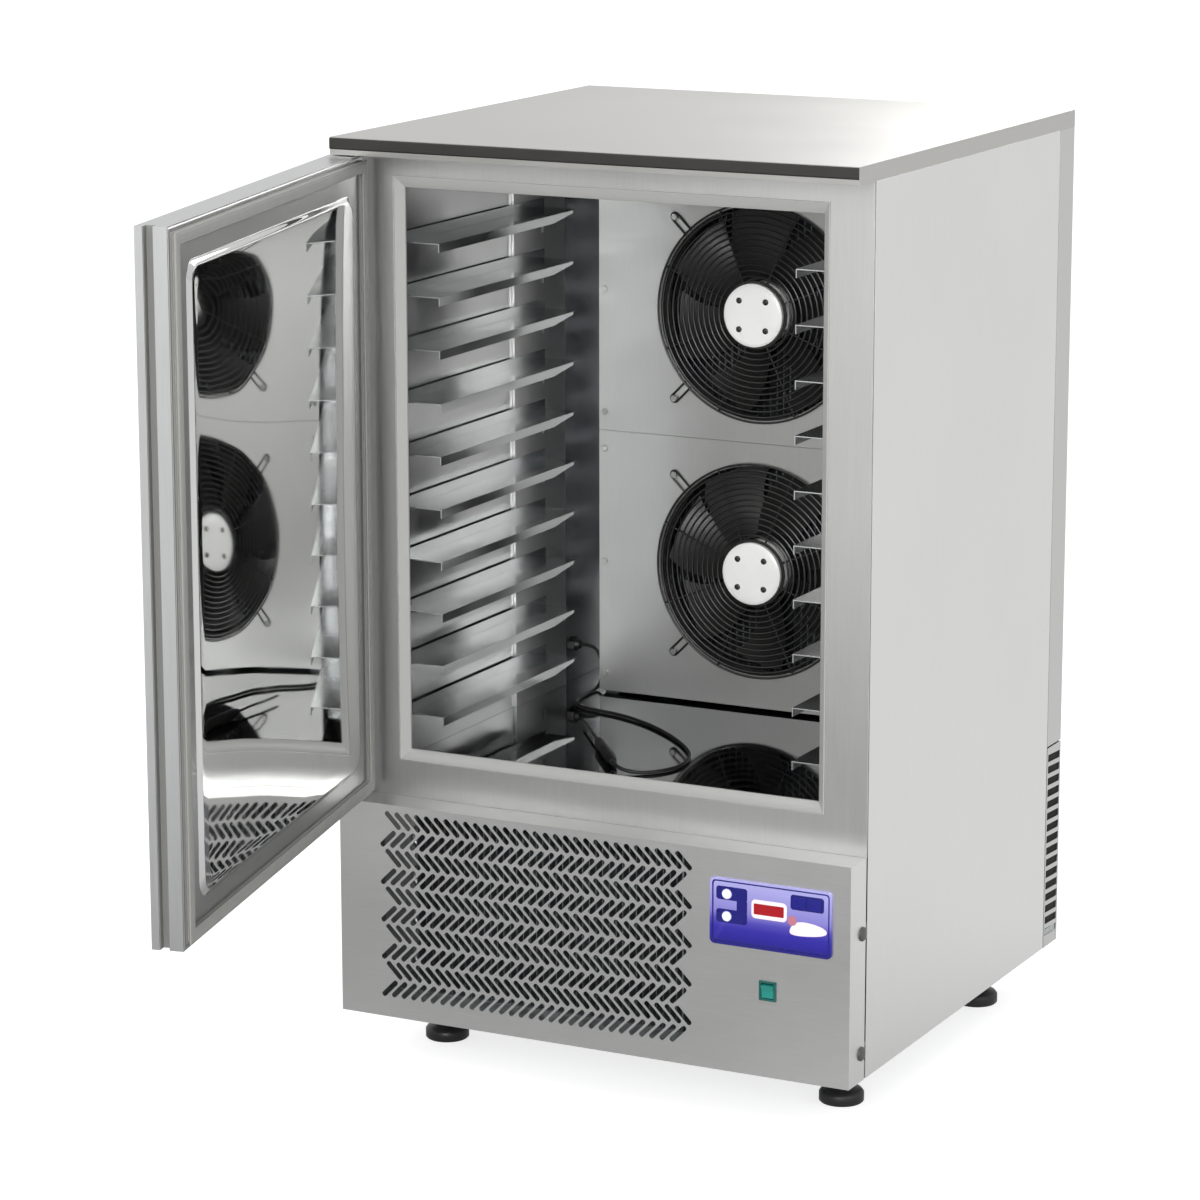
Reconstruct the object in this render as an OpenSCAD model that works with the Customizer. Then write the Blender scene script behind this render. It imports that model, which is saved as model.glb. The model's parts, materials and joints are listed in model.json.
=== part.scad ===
// Blast chiller with ten tray levels: an insulated cabinet on four feet, one tall door hinged
// on the left, two fans blowing into the chamber, and the refrigeration unit below the floor.
// Working frame: x left to right, y front to rear, z up from the bottom edge of the panels.
// place() then moves everything so that the origin is under the middle of the whole object.

/* [Cabinet] */
// Outer width
body_w = 750; // [730:1:800]
// Outer depth, from the front of the top to the back panel
body_d = 740; // [730:1:800]
// Height of the panels, without the feet
body_h = 1187; // [1160:1:1260]
// Height of the feet under the panels
foot_h = 73; // [66:1:90]
// How far the door frame lies behind the front of the top and of the lower panel
setback = 49; // [45:1:56]
// Top of the lower front panel
lower_h = 297; // [290:1:310]
// Height of the folded edge of the top
top_t = 23; // [20:1:30]
// Thickness of every outer sheet
sheet = 1.5; // [1:0.1:2]
// Height of the dark strip along the front edge of the top
trim_h = 15; // [10:1:18]

/* [Chamber] */
// Wall at the left, outside face to chamber
wall_left = 66; // [62:1:72]
// Wall at the right, outside face to chamber
wall_right = 60; // [56:1:66]
// Wall at the rear
wall_rear = 60; // [56:1:66]
// Height of the chamber floor
floor_z = 347; // [340:1:360]
// From the top of the cabinet to the chamber ceiling
ceiling_drop = 52; // [48:1:58]
// Width of the bevelled strip round the opening
strip_w = 12; // [8:1:14]

/* [Tray rack] */
// Number of tray levels
levels = 10; // [6:1:10]
// Height from one level to the next
level_pitch = 71; // [66:1:71]
// Height of the lowest ledge
level_z = 405; // [402:1:410]
// Width of a ledge, measured from its upright
ledge_w = 52; // [40:1:60]
// Depth of the folded lip of a ledge
lip_h = 12; // [8:1:14]

/* [Chamber fans] */
// Front face of the fan panels
panel_y = 505; // [495:1:508]
// Middle of both fans across the cabinet
fan_x = 382; // [378:1:386]
// Height of the lower fan
fan_low_z = 548; // [540:1:550]
// Height of the upper fan
fan_high_z = 911; // [902:1:914]
// Radius of the wire guard
guard_r = 152; // [145:1:155]
// Thickness of the guard wire
wire_d = 3; // [2.4:0.2:3.4]
// Number of rings in a guard
rings = 13; // [8:1:14]
// Blades on each chamber fan
blades = 7; // [5:1:9]
// Tip radius of the blades
blade_r = 144; // [120:1:145]

/* [Door] */
// How far the door stands open
door_open = 77.5; // [0:0.1:100]
// Thickness of the door without its gasket
door_t = 40; // [36:1:42]
// Distance of the hinge pin from the left side
hinge_x = 14; // [13:1:16]
// Distance of the hinge pin behind the front
hinge_y = 23.6; // [21:0.1:25]
// Gap round the door
door_gap = 1.5; // [1:0.5:3]
// Depth of the grip groove down the free edge
grip_d = 12; // [8:1:14]

/* [Lower panel] */
// Rows of slots
slot_rows = 10; // [4:2:10]
// Slots in a row
slots_per_row = 30; // [10:1:30]
// Distance between slots
slot_pitch = 14.9; // [14:0.1:15.4]
// Length of a slot
slot_len = 31; // [20:1:32]
// Width of a slot
slot_w = 7.2; // [4:0.2:7.6]
// Control panel width
ctrl_w = 172; // [150:1:180]
// Control panel height
ctrl_h = 89; // [80:1:95]

/* [Hidden] */
$fn = 64;
e = 0.01;

// The chamber's inner faces
cx0 = wall_left;
cx1 = body_w - wall_right;
cy1 = body_d - wall_rear;
cz1 = body_h - ceiling_drop;
cxm = (cx0 + cx1) / 2;
liner_y = setback + 9;

// The door, drawn shut; door_pose() opens it
dx0 = 3;
dx1 = body_w - 3;
dz0 = lower_h + door_gap;
dz1 = body_h - top_t - door_gap;
// A point of the shut door, as it lies when the door is open
function opened(p) = [
  hinge_x + (p[0] - hinge_x) * cos(door_open) + (p[1] - hinge_y) * sin(door_open),
  hinge_y - (p[0] - hinge_x) * sin(door_open) + (p[1] - hinge_y) * cos(door_open)];
door_corners = [for (p = [[dx0, 0], [dx1, 0], [dx0, door_t], [dx1, door_t]]) opened(p)];
x_min = min([for (p = door_corners) p[0], 0]);
y_min = min([for (p = door_corners) p[1], -3]);
side_head = 4;
origin_x = (x_min + body_w + side_head) / 2;
origin_y = (y_min + body_d) / 2;

// Feet, in from the sides and from the front and rear
foot_in = 77;
foot_front = 154;
foot_rear = 112;
feet = [[foot_in, foot_front], [body_w - foot_in, foot_front],
  [foot_in, body_d - foot_rear], [body_w - foot_in, body_d - foot_rear]];

// Control panel and switch on the lower panel
ctrl_x = body_w - 25 - ctrl_w;
ctrl_z = lower_h - 36 - ctrl_h;
sw_x = body_w - 115;
sw_z = 117;
sw_w = 24;
sw_h = 26.5;
// Middles of the keys, from the control panel's lower left corner: start, stop, mode, set
keys = [[24, 68], [24, 38], [126, 69], [148, 69]];

// Machine compartment
deck_z = lower_h - 12;
comp_x = 575;
comp_y = 500;
cond_x0 = 70;
cond_x1 = 470;
cond_y = 92;
cond_t = 60;
cfan_x = (cond_x0 + cond_x1) / 2;
cfan_z = 148;
// Where the two refrigerant pipes rise through the floor
riser_y = 632;
riser_x = [648, 664];

module place() translate([-origin_x, -origin_y, foot_h]) children();
module door_pose() translate([hinge_x, hinge_y, 0]) rotate([0, 0, -door_open])
  translate([-hinge_x, -hinge_y, 0]) children();
// A box from one corner to the other
module box(a, b) translate(a) cube([b[0] - a[0], b[1] - a[1], b[2] - a[2]]);
// The right-hand twin of a piece in the left half of the chamber
module twin() translate([2 * cxm, 0, 0]) mirror([1, 0, 0]) children();
// A cylinder along +y, starting at its base point
module ycyl(p, r, h) translate(p) rotate([-90, 0, 0]) cylinder(r = r, h = h);
// A flat outline in x and z, made into a plate from y0 to y1
module yplate(y0, y1) translate([0, y1, 0]) rotate([90, 0, 0]) linear_extrude(y1 - y0) children();
// A rectangle with round corners
module rounded(w, h, r) {
  translate([r, 0]) square([w - 2 * r, h]);
  translate([0, r]) square([w, h - 2 * r]);
  for (x = [r, w - r], z = [r, h - r]) translate([x, z]) circle(r);
}
// The direction in which leg i of a path runs
function leg(path, i) = (path[i + 1] - path[i]) / norm(path[i + 1] - path[i]);
// A pipe through a list of points, its legs brazed 2 mm deep into an elbow at each right corner
module pipe_run(path, r) {
  b = 2.6 * r;
  last = len(path) - 1;
  for (i = [0:last - 1]) {
    u = leg(path, i);
    from = i == 0 ? 0 : b - 2;
    to = norm(path[i + 1] - path[i]) - (i == last - 1 ? 0 : b - 2);
    translate(path[i] + from * u) rotate([0, acos(u[2]), atan2(u[1], u[0])])
      cylinder(r = r, h = to - from, $fn = 24);
  }
  for (i = [1:1:last - 1]) {
    u = leg(path, i - 1);
    w = leg(path, i);
    n = cross(u, w);
    c = path[i] + b * (w - u);
    multmatrix([[-w[0], u[0], n[0], c[0]], [-w[1], u[1], n[1], c[1]], [-w[2], u[2], n[2], c[2]]])
      rotate_extrude(angle = 90, $fn = 48) translate([b, 0]) circle(1.2 * r, $fn = 24);
  }
}

// ---- Cabinet sheets ----

module base_pan() color("silver") place() difference() {
  box([sheet, setback + 2, 0], [body_w - sheet, body_d - 4, 25]);
  box([sheet + 2, setback + 4, 2], [body_w - sheet - 2, body_d - 6, 26]);
}

// Four corner posts, the clips that the lower panel is screwed to, and the deck that carries
// the insulated floor
clip_z = [38, 199];
module machine_frame() color("silver") place() {
  for (x = [5, body_w - 35], y = [setback + 9, body_d - 36]) {
    left = x < cxm;
    front = y < 300;
    box([left ? x : x + 28, y, 2], [left ? x + 2 : x + 30, y + 30, deck_z]);
    box([x, front ? y : y + 28, 2], [x + 30, front ? y + 2 : y + 30, deck_z]);
  }
  for (s = [0, 1], z = clip_z) translate([s * body_w, 0, 0]) mirror([s, 0, 0]) {
    difference() {
      box([sheet, 28, z - 12], [sheet + 2, 64, z + 12]);
      translate([0, 38, z]) rotate([0, 90, 0]) cylinder(r = 2.3, h = 8);
    }
    box([sheet, 62, z - 12], [6, 64, z + 12]);
  }
  difference() {
    box([15, setback + 9, deck_z], [body_w - 15, body_d - 6, deck_z + 2]);
    translate([cxm, 600, deck_z - 1]) cylinder(r = 17, h = 4);
    for (x = riser_x) translate([x, riser_y, deck_z - 1]) cylinder(r = 9, h = 4);
  }
}

// A side panel folded in along its front, rear, top and bottom
module side_sheet() {
  y0 = setback + 5;
  y1 = body_d - 53.5;
  top = body_h - top_t;
  box([0, y0, 0], [sheet, y1, top]);
  box([sheet - e, y0, lower_h + 5], [14, y0 + sheet, top - 14]);
  box([sheet - e, y1 - sheet, 30], [12, y1, top - 14]);
  box([sheet - e, y0, top - 14], [12, y1, top - 14 + sheet]);
}
module left_side_panel() color("lightgray") place() side_sheet();
module right_side_panel() color("lightgray") place()
  translate([body_w, 0, 0]) mirror([1, 0, 0]) side_sheet();

// The rear sheet wraps round both back corners; seen from above it is a shallow C
module rear_wrap(z0, z1, lip) {
  y0 = body_d - 52;
  translate([0, 0, z0]) linear_extrude(z1 - z0) difference() {
    translate([0, y0]) square([body_w, body_d - y0]);
    translate([sheet, y0 + sheet]) square([body_w - 2 * sheet, body_d - y0 - 2 * sheet]);
    translate([lip, y0 - 1]) square([body_w - 2 * lip, sheet + 2]);
  }
}
module back_panel() color("gainsboro") place() rear_wrap(295, body_h - top_t, 12);
module rear_grille() color("gray") place() difference() {
  rear_wrap(0, 293, sheet);
  // sixteen wide slots in each wrapped side, which fall a little towards the rear
  for (i = [0:15]) translate([-1, body_d - 26, 16 + 17 * i]) rotate([-3, 0, 0])
    translate([0, -22.5, 0]) cube([body_w + 2, 45, 10.5]);
  // two fields of level slots in the back
  for (x = [110, 400], i = [0:12])
    box([x, body_d - 10, 40 + 17 * i], [x + 240, body_d + 1, 47 + 17 * i]);
}

// The top: one sheet folded down all round, returned under the front overhang
module top_panel() color("whitesmoke") place() {
  z0 = body_h - top_t;
  difference() {
    box([0, 0, z0], [body_w, body_d, body_h]);
    box([sheet, sheet, z0 - 1], [body_w - sheet, body_d - sheet, body_h - sheet]);
  }
  difference() {
    box([sheet - e, sheet - e, z0], [body_w - sheet + e, setback + 12, z0 + sheet]);
    translate([hinge_x, hinge_y, z0 - 1]) cylinder(r = 4.5, h = 4);
  }
  for (x = [sheet - e, body_w - 12])
    box([x, setback, z0], [x + 12 - sheet + e, body_d - 60, z0 + sheet]);
}
module top_edge_trim() color("dimgray") place()
  translate([0, 0, body_h - 1]) rotate([0, 90, 0]) linear_extrude(body_w)
    polygon([[0, 0], [0, -1], [1, -2], [trim_h - 2, -2], [trim_h, -0.5], [trim_h, 0]]);

// The flat frame that the door closes on, with its returns
module door_surround() color("lightgray") place() difference() {
  union() {
    box([0, setback, lower_h], [body_w, setback + sheet, body_h - top_t]);
    for (x = [3, body_w - 3 - sheet])
      box([x, setback + sheet - e, lower_h], [x + sheet, setback + 5 - 0.2, body_h - top_t - 1]);
    box([cx0 - sheet, setback + sheet - e, floor_z - sheet], [cx1 + sheet, liner_y, cz1 + sheet]);
  }
  box([cx0, setback - 1, floor_z], [cx1, liner_y + 1, cz1]);
}

// The bevelled strip inside the opening: the cut is where a wedge seen from above meets a
// wedge seen from the side
module breaker_strip() color("gainsboro") place() {
  y0 = setback;
  y1 = setback + 13;
  s = strip_w;
  difference() {
    box([cx0, y0, floor_z], [cx1, y1, cz1]);
    intersection() {
      translate([0, 0, floor_z - 1]) linear_extrude(cz1 - floor_z + 2)
        polygon([[cx0 + 2, y0 - e], [cx1 - 2, y0 - e], [cx1 - s, y1 - 3], [cx1 - s, y1 + 1],
          [cx0 + s, y1 + 1], [cx0 + s, y1 - 3]]);
      translate([cx0 - 1, 0, 0]) rotate([90, 0, 90]) linear_extrude(cx1 - cx0 + 2)
        polygon([[y0 - e, floor_z + 2], [y1 - 3, floor_z + s + 2], [y1 + 1, floor_z + s + 2],
          [y1 + 1, cz1 - s - 4], [y1 - 3, cz1 - s - 4], [y0 - e, cz1 - 2]]);
    }
  }
}

// ---- Chamber ----

module chamber_liner() color("silver") place() difference() {
  box([cx0 - sheet, liner_y, floor_z - sheet], [cx1 + sheet, cy1 + sheet, cz1 + sheet]);
  box([cx0, liner_y - 1, floor_z], [cx1, cy1, cz1]);
  translate([cxm, 600, floor_z - 4]) cylinder(r = 15, h = 8);
  for (x = riser_x) translate([x, riser_y, floor_z - 4]) cylinder(r = 7.5, h = 8);
  translate([cx0 - 4, 560, floor_z + 53]) rotate([0, 90, 0]) cylinder(r = 8, h = 8);
}
module insulation_foam() color("khaki") place() difference() {
  box([15, setback + 13, deck_z + 2], [body_w - 15, body_d - 4, body_h - sheet - 1]);
  box([cx0 - sheet, liner_y, floor_z - sheet], [cx1 + sheet, cy1 + sheet, cz1 + sheet]);
  translate([cxm, 600, deck_z]) cylinder(r = 15, h = 70);
  for (x = riser_x) translate([x, riser_y, deck_z]) cylinder(r = 7.5, h = 70);
  translate([0, 560, floor_z + 53]) rotate([0, 90, 0]) cylinder(r = 8, h = 80);
}
// A dished drain in the floor and its spigot down through the insulation
module chamber_drain() color("silver") place() translate([cxm, 600, 0]) difference() {
  union() {
    translate([0, 0, deck_z - 20]) cylinder(r = 14, h = floor_z - deck_z + 20.5);
    translate([0, 0, floor_z]) cylinder(r = 24, h = 1);
  }
  translate([0, 0, deck_z - 21]) cylinder(r = 12, h = 100);
}

// Uprights: a narrow one inside the opening and a wide slotted one at the rear, each side
module upright_pair() {
  box([cx0, 62.5, floor_z], [cx0 + 4, 74, cz1]);
  difference() {
    box([cx0, 376, floor_z], [cx0 + 4, 528, cz1]);
    for (i = [0:levels - 1], y = [456])
      box([cx0 - 1, y, level_z + level_pitch * i - 34],
        [cx0 + 5, y + 7, level_z + level_pitch * i - 20]);
  }
}
module rack_uprights() color("slategray") place() {
  upright_pair();
  twin() upright_pair();
}
// A ledge in section: wall flange, shelf, and a lip folded down that tapers off at the rear
module runner(z) {
  x0 = cx0 + 4;
  x1 = x0 + ledge_w;
  difference() {
    union() {
      box([x0, 62.5, z - 5], [x0 + sheet, 464, z + 15]);
      box([x0 + sheet - e, 70, z], [x1, 464, z + sheet]);
      box([x1 - sheet, 70, z + sheet - lip_h], [x1, 464, z + sheet]);
    }
    translate([x0 + 10, 0, 0]) rotate([90, 0, 90]) linear_extrude(ledge_w)
      polygon([[384, z - lip_h], [465, z - lip_h], [465, z - 1]]);
    translate([x1, 464, z - 1]) rotate([0, 0, 45]) cube([16, 16, 4], center = true);
  }
}
module left_runners() color("lightsteelblue") place()
  for (i = [0:levels - 1]) runner(level_z + level_pitch * i);
module right_runners() color("lightsteelblue") place()
  twin() for (i = [0:levels - 1]) runner(level_z + level_pitch * i);

// ---- Chamber fans ----

coil_x0 = fan_x - 226;
coil_x1 = fan_x + 226;
panel_x0 = coil_x0 - 20;
panel_x1 = coil_x1 + 20;
split_z = (fan_low_z + fan_high_z) / 2;
seam = 0.25;
inlet_r = 149.5;

// A fan panel: a sheet folded back round its edge, with a rolled inlet round the fan
module fan_sheet(z0, z1, fz) {
  difference() {
    union() {
      difference() {
        box([panel_x0, panel_y, z0], [panel_x1, panel_y + 18, z1]);
        box([panel_x0 + sheet, panel_y + sheet, z0 + sheet],
          [panel_x1 - sheet, panel_y + 19, z1 - sheet]);
      }
      ycyl([fan_x, panel_y + sheet - e, fz], inlet_r + 2, 30);
    }
    ycyl([fan_x, panel_y - 1, fz], inlet_r, 40);
    for (x = [panel_x0 + 9, panel_x1 - 9], z = [z0 + 26, (z0 + z1) / 2, z1 - 26])
      ycyl([x, panel_y - 1, z], 2.2, 4);
    for (a = [45:90:315]) ycyl([fan_x + 180 * cos(a), panel_y - 1, fz + 180 * sin(a)], 2.2, 4);
  }
}
module upper_fan_panel() color("gainsboro") place() fan_sheet(split_z + seam, cz1 - 4, fan_high_z);
module lower_fan_panel() color("gainsboro") place() fan_sheet(floor_z + 5, split_z - seam, fan_low_z);

// Pan-head screws of the fan panels and the guards
module pan_screw(p) {
  ycyl([p[0], p[1] - 2.4, p[2]], 4.6, 2.4);
  ycyl([p[0], p[1] - e, p[2]], 2.1, 5);
}
module panel_screws() color("gray") place() {
  for (b = [[floor_z + 5, split_z - seam], [split_z + seam, cz1 - 4]],
       x = [panel_x0 + 9, panel_x1 - 9], z = [b[0] + 26, (b[0] + b[1]) / 2, b[1] - 26])
    pan_screw([x, panel_y, z]);
  for (fz = [fan_low_z, fan_high_z], a = [45:90:315])
    pan_screw([fan_x + 180 * cos(a), panel_y - 3.2, fz + 180 * sin(a)]);
}
// Dark domed screws that hold the lower panel's side flanges
module side_screws() color("dimgray") place()
  for (s = [0, 1], z = clip_z) translate([s * body_w, 38, z]) rotate([0, s == 0 ? 90 : -90, 0]) {
    rotate_extrude()
      polygon([[0, 0], [9.5, 0], [9.5, -1.5], [8, -3.2], [5, -side_head], [0, -side_head]]);
    translate([0, 0, -e]) cylinder(r = 2.1, h = 6);
  }

// Where a guard ring of radius r lies: the spokes slope back a little towards the rim
function guard_y(r) = panel_y - 11.5 + 8 * (r - 46) / (guard_r - 46);
module fan_guard(fz) translate([fan_x, 0, fz]) rotate([-90, 0, 0]) {
  for (i = [0:rings - 1]) {
    r = 54 + (guard_r - 54) * i / (rings - 1);
    translate([0, 0, guard_y(r) - (i == rings - 1 ? 0 : 1.8)])
      rotate_extrude($fn = 72) translate([r, 0]) circle(d = wire_d, $fn = 16);
  }
  // eight sloping spokes and the plate that the motor is screwed to
  slope = atan2(8, guard_r - 46);
  for (a = [22.5:45:360]) rotate([0, 0, a]) translate([44, 0, guard_y(44)]) rotate([0, 90 - slope, 0])
    rotate(180) cylinder(d = wire_d + 0.8, h = (guard_r - 43) / cos(slope), $fn = 24);
  translate([0, 0, guard_y(46) - 1]) difference() {
    cylinder(r = 48, h = 2);
    translate([0, 0, -1]) cylinder(r = 31, h = 4);
  }
  // four wire ears, each looped round its screw
  for (a = [45:90:315]) rotate([0, 0, a]) translate([0, 0, panel_y - 1.7]) {
    for (s = [-1, 1]) translate([guard_r - 2, 5.5 * s, 0]) rotate([0, 90, 0]) rotate(180)
      cylinder(d = wire_d - 0.4, h = 183 - guard_r, $fn = 24);
    translate([180, 0, 0]) rotate([0, 0, -90]) rotate_extrude(angle = 180, $fn = 48)
      translate([5.5, 0]) circle(d = wire_d, $fn = 16);
  }
}
module upper_fan_guard() color("black") place() fan_guard(fan_high_z);
module lower_fan_guard() color("black") place() fan_guard(fan_low_z);

// The fixed half of a motor whose outer shell turns: a front disc, a neck and the stator
motor_y = guard_y(46) - 1;
module fan_motor(fz) translate([fan_x, motor_y, fz]) rotate([-90, 0, 0]) difference() {
  union() {
    rotate_extrude() polygon([[0, -8], [40, -8], [44, -6], [44, 0], [0, 0]]);
    translate([0, 0, -e]) cylinder(r = 30, h = 22);
    translate([0, 0, 22 - 2 * e]) cylinder(r = 43, h = 30);
    for (x = [-20, 20], z = [-20, 20]) translate([x, z, -9.4]) cylinder(r = 3.6, h = 2, $fn = 24);
  }
  translate([0, 0, 30]) cylinder(r = 5.05, h = 40);
}
module upper_fan_motor() color("white") place() fan_motor(fan_high_z);
module lower_fan_motor() color("white") place() fan_motor(fan_low_z);

// One blade as a thin lofted sheet. u runs from root to tip and v from edge to edge: the pitch
// flattens and the blade sweeps forward towards the tip, with a little camber across it.
function blade_point(u, v, side, r0, r1, chord, depth, t) = let (
  r = r0 + (r1 - r0) * u,
  half = (chord / 2) * (0.75 + 0.45 * u),
  pitch = 44 - 20 * u,
  along = v * half * cos(pitch),
  sweep = 14 * u * u,
  a = along / r * 180 / PI + sweep,
  y = v * half * sin(pitch) + depth * (1 - v * v) + side * t / 2)
  [r * cos(a), r * sin(a), y];
module blade(r0, r1, chord, depth, t) {
  nu = 5;
  nv = 4;
  m = (nu + 1) * (nv + 1);
  function id(i, j, s) = s * m + i * (nv + 1) + j;
  rim = concat([for (j = [0:nv]) [0, j]], [for (i = [1:nu]) [i, nv]],
    [for (j = [nv - 1:-1:0]) [nu, j]], [for (i = [nu - 1:-1:1]) [i, 0]]);
  n = len(rim);
  polyhedron(
    [for (s = [0, 1], i = [0:nu], j = [0:nv])
      blade_point(i / nu, 2 * j / nv - 1, 2 * s - 1, r0, r1, chord, depth, t)],
    concat(
      [for (i = [0:nu - 1], j = [0:nv - 1], k = [0, 1]) k == 0
        ? [id(i, j, 0), id(i + 1, j, 0), id(i, j + 1, 0)]
        : [id(i, j + 1, 0), id(i + 1, j, 0), id(i + 1, j + 1, 0)]],
      [for (i = [0:nu - 1], j = [0:nv - 1], k = [0, 1]) k == 0
        ? [id(i, j, 1), id(i, j + 1, 1), id(i + 1, j, 1)]
        : [id(i, j + 1, 1), id(i + 1, j + 1, 1), id(i + 1, j, 1)]],
      [for (q = [0:n - 1], k = [0, 1]) let (a = rim[q], b = rim[(q + 1) % n]) k == 0
        ? [id(a[0], a[1], 0), id(b[0], b[1], 0), id(a[0], a[1], 1)]
        : [id(b[0], b[1], 0), id(b[0], b[1], 1), id(a[0], a[1], 1)]]));
}
// The turning half: a cup over the stator, its shaft, and the blades riveted to the cup
module impeller() rotate([-90, 0, 0]) {
  difference() {
    cylinder(r = 50, h = 40);
    translate([0, 0, -1]) cylinder(r = 46, h = 37);
  }
  translate([0, 0, 10]) cylinder(r = 5, h = 27);
  for (a = [0:360 / blades:359]) rotate([0, 0, a]) translate([0, 0, 20])
    blade(48.5, blade_r, 82, 5, 2.2);
}
rotor_y = motor_y + 26;
module upper_impeller() color("dimgray") place() translate([fan_x, rotor_y, fan_high_z]) impeller();
module lower_impeller() color("dimgray") place()
  translate([fan_x, rotor_y, fan_low_z]) rotate([0, 31, 0]) impeller();

// ---- Evaporator ----

fin_y0 = 580;
fin_y1 = 662;
coil_z0 = floor_z + 26;
coil_z1 = cz1 - 24;
// Fins between two trays, held by end plates that stand on the floor and carry the fan panels
module evaporator_coil() color("lightslategray") place() {
  for (x = [coil_x0, coil_x1 - 2]) box([x, panel_y + 20, floor_z], [x + 2, fin_y1 + 2, cz1 - 4]);
  box([panel_x0, panel_y + 18, floor_z], [coil_x0 + 2, panel_y + 20 + e, cz1 - 4]);
  box([coil_x1 - 2, panel_y + 18, floor_z], [panel_x1, panel_y + 20 + e, cz1 - 4]);
  for (z = [coil_z0 - 2, coil_z1])
    box([coil_x0 + 2 - e, fin_y0 - 4, z], [coil_x1 - 2 + e, fin_y1 + 2, z + 2]);
  for (i = [1:44], x = [coil_x0 + 10 * i])
    box([x + 0.6, fin_y0, coil_z0 - e], [x + 1.4, fin_y1, coil_z1 + e]);
}
// Return bends outside both end plates, on two columns of tubes at one pitch, and the bend
// that joins the columns at the top
tube_pitch = 28;
tube_r = 4.75;
module bend(r) rotate_extrude(angle = 180, $fn = 48) translate([r, 0]) circle(r = tube_r, $fn = 20);
module evaporator_bends() color("peru") place() {
  for (y = [riser_y - 40, riser_y], i = [0:11]) {
    translate([coil_x0, y, coil_z0 + 1.5 * tube_pitch + 2 * tube_pitch * i])
      rotate([90, 0, 0]) rotate([0, 0, 90]) bend(tube_pitch / 2);
    translate([coil_x1, y, coil_z0 + 2.5 * tube_pitch + 2 * tube_pitch * i])
      rotate([90, 0, 0]) rotate([0, 0, -90]) bend(tube_pitch / 2);
  }
  translate([coil_x0, riser_y - 20, coil_z0 + 25 * tube_pitch]) rotate([0, 0, 90]) bend(20);
}

// ---- Core probe ----

gland_y = 560;
gland_z = floor_z + 53;
module cable_gland() color("black") place() translate([cx0 - 30, gland_y, gland_z]) rotate([0, 90, 0]) {
  cylinder(r = 7.9, h = 31);
  translate([0, 0, 30]) cylinder(r = 11, h = 5, $fn = 6);
  translate([0, 0, 35 - e]) cylinder(r1 = 8, r2 = 6, h = 6 + e);
}
// The cable's route, from the gland down to the floor, out under the rack and back to the probe
cable_d = 5;
lay_z = floor_z + cable_d / 2 + 0.3;
probe_at = [342, 139, floor_z + 8.5];
probe_turn = 127;
probe_dir = [cos(probe_turn), sin(probe_turn), 0];
cable_pts = [[cx0 + 11, gland_y, gland_z], [90, 560, 400], [104, 557, 396], [116, 550, 382],
  [122, 540, 364], [125, 524, 353], [126, 505, lay_z], [127, 480, lay_z], [129, 455, lay_z],
  [136, 430, lay_z], [152, 412, lay_z], [180, 402, lay_z], [215, 394, lay_z], [250, 380, lay_z],
  [285, 360, lay_z], [320, 334, lay_z], [352, 306, lay_z], [382, 274, lay_z], [406, 240, lay_z],
  [420, 205, lay_z], [422, 172, lay_z], [412, 144, lay_z], [394, 124, lay_z], [374, 117, lay_z + 2],
  [358, 121, lay_z + 4.6], probe_at - 9 * probe_dir, probe_at];
// Eight-sided rings square to the route, with one fixed side vector so that nothing twists
function tangent(p, i) = let (d = p[min(i + 1, len(p) - 1)] - p[max(i - 1, 0)]) d / norm(d);
function side_of(t) = let (s = cross(t, [0.02, 0.05, 1])) s / norm(s);
function ring(p, i, r, n) = let (t = tangent(p, i), s = side_of(t), u = cross(s, t))
  [for (k = [0:n - 1]) p[i] + r * (cos(360 * k / n) * s + sin(360 * k / n) * u)];
module tube(p, r, n) {
  m = len(p);
  polyhedron([for (i = [0:m - 1]) each ring(p, i, r, n)],
    concat([[for (k = [0:n - 1]) k]], [[for (k = [n - 1:-1:0]) (m - 1) * n + k]],
      [for (i = [0:m - 2], k = [0:n - 1], h = [0, 1]) let (k1 = (k + 1) % n) h == 0
        ? [i * n + k, (i + 1) * n + k, i * n + k1]
        : [i * n + k1, (i + 1) * n + k, (i + 1) * n + k1]]));
}
module probe_cable() color("black") place() tube(cable_pts, cable_d / 2, 8);
// Grip and needle lie on the floor, the needle to the rear
module core_probe() color("black") place() translate(probe_at) rotate([0, 90, probe_turn]) {
  rotate_extrude()
    polygon([[0, 0], [4.5, 0], [6, 4], [8.2, 20], [8.2, 96], [6, 110], [4, 116], [0, 116]]);
  translate([0, 0, 116 - e]) cylinder(r = 2, h = 108);
  translate([0, 0, 224 - 2 * e]) cylinder(r1 = 2, r2 = 0.4, h = 10);
}

// ---- Lower front ----

module slot(dir) rotate(45 * dir) translate([-slot_len / 2 + slot_w / 2, -slot_w / 2]) {
  square([slot_len - slot_w, slot_w]);
  for (x = [0, slot_len - slot_w]) translate([x, slot_w / 2]) circle(d = slot_w, $fn = 16);
}
field_x = 74.5;
field_z = 27;
row_h = 26.2;
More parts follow.
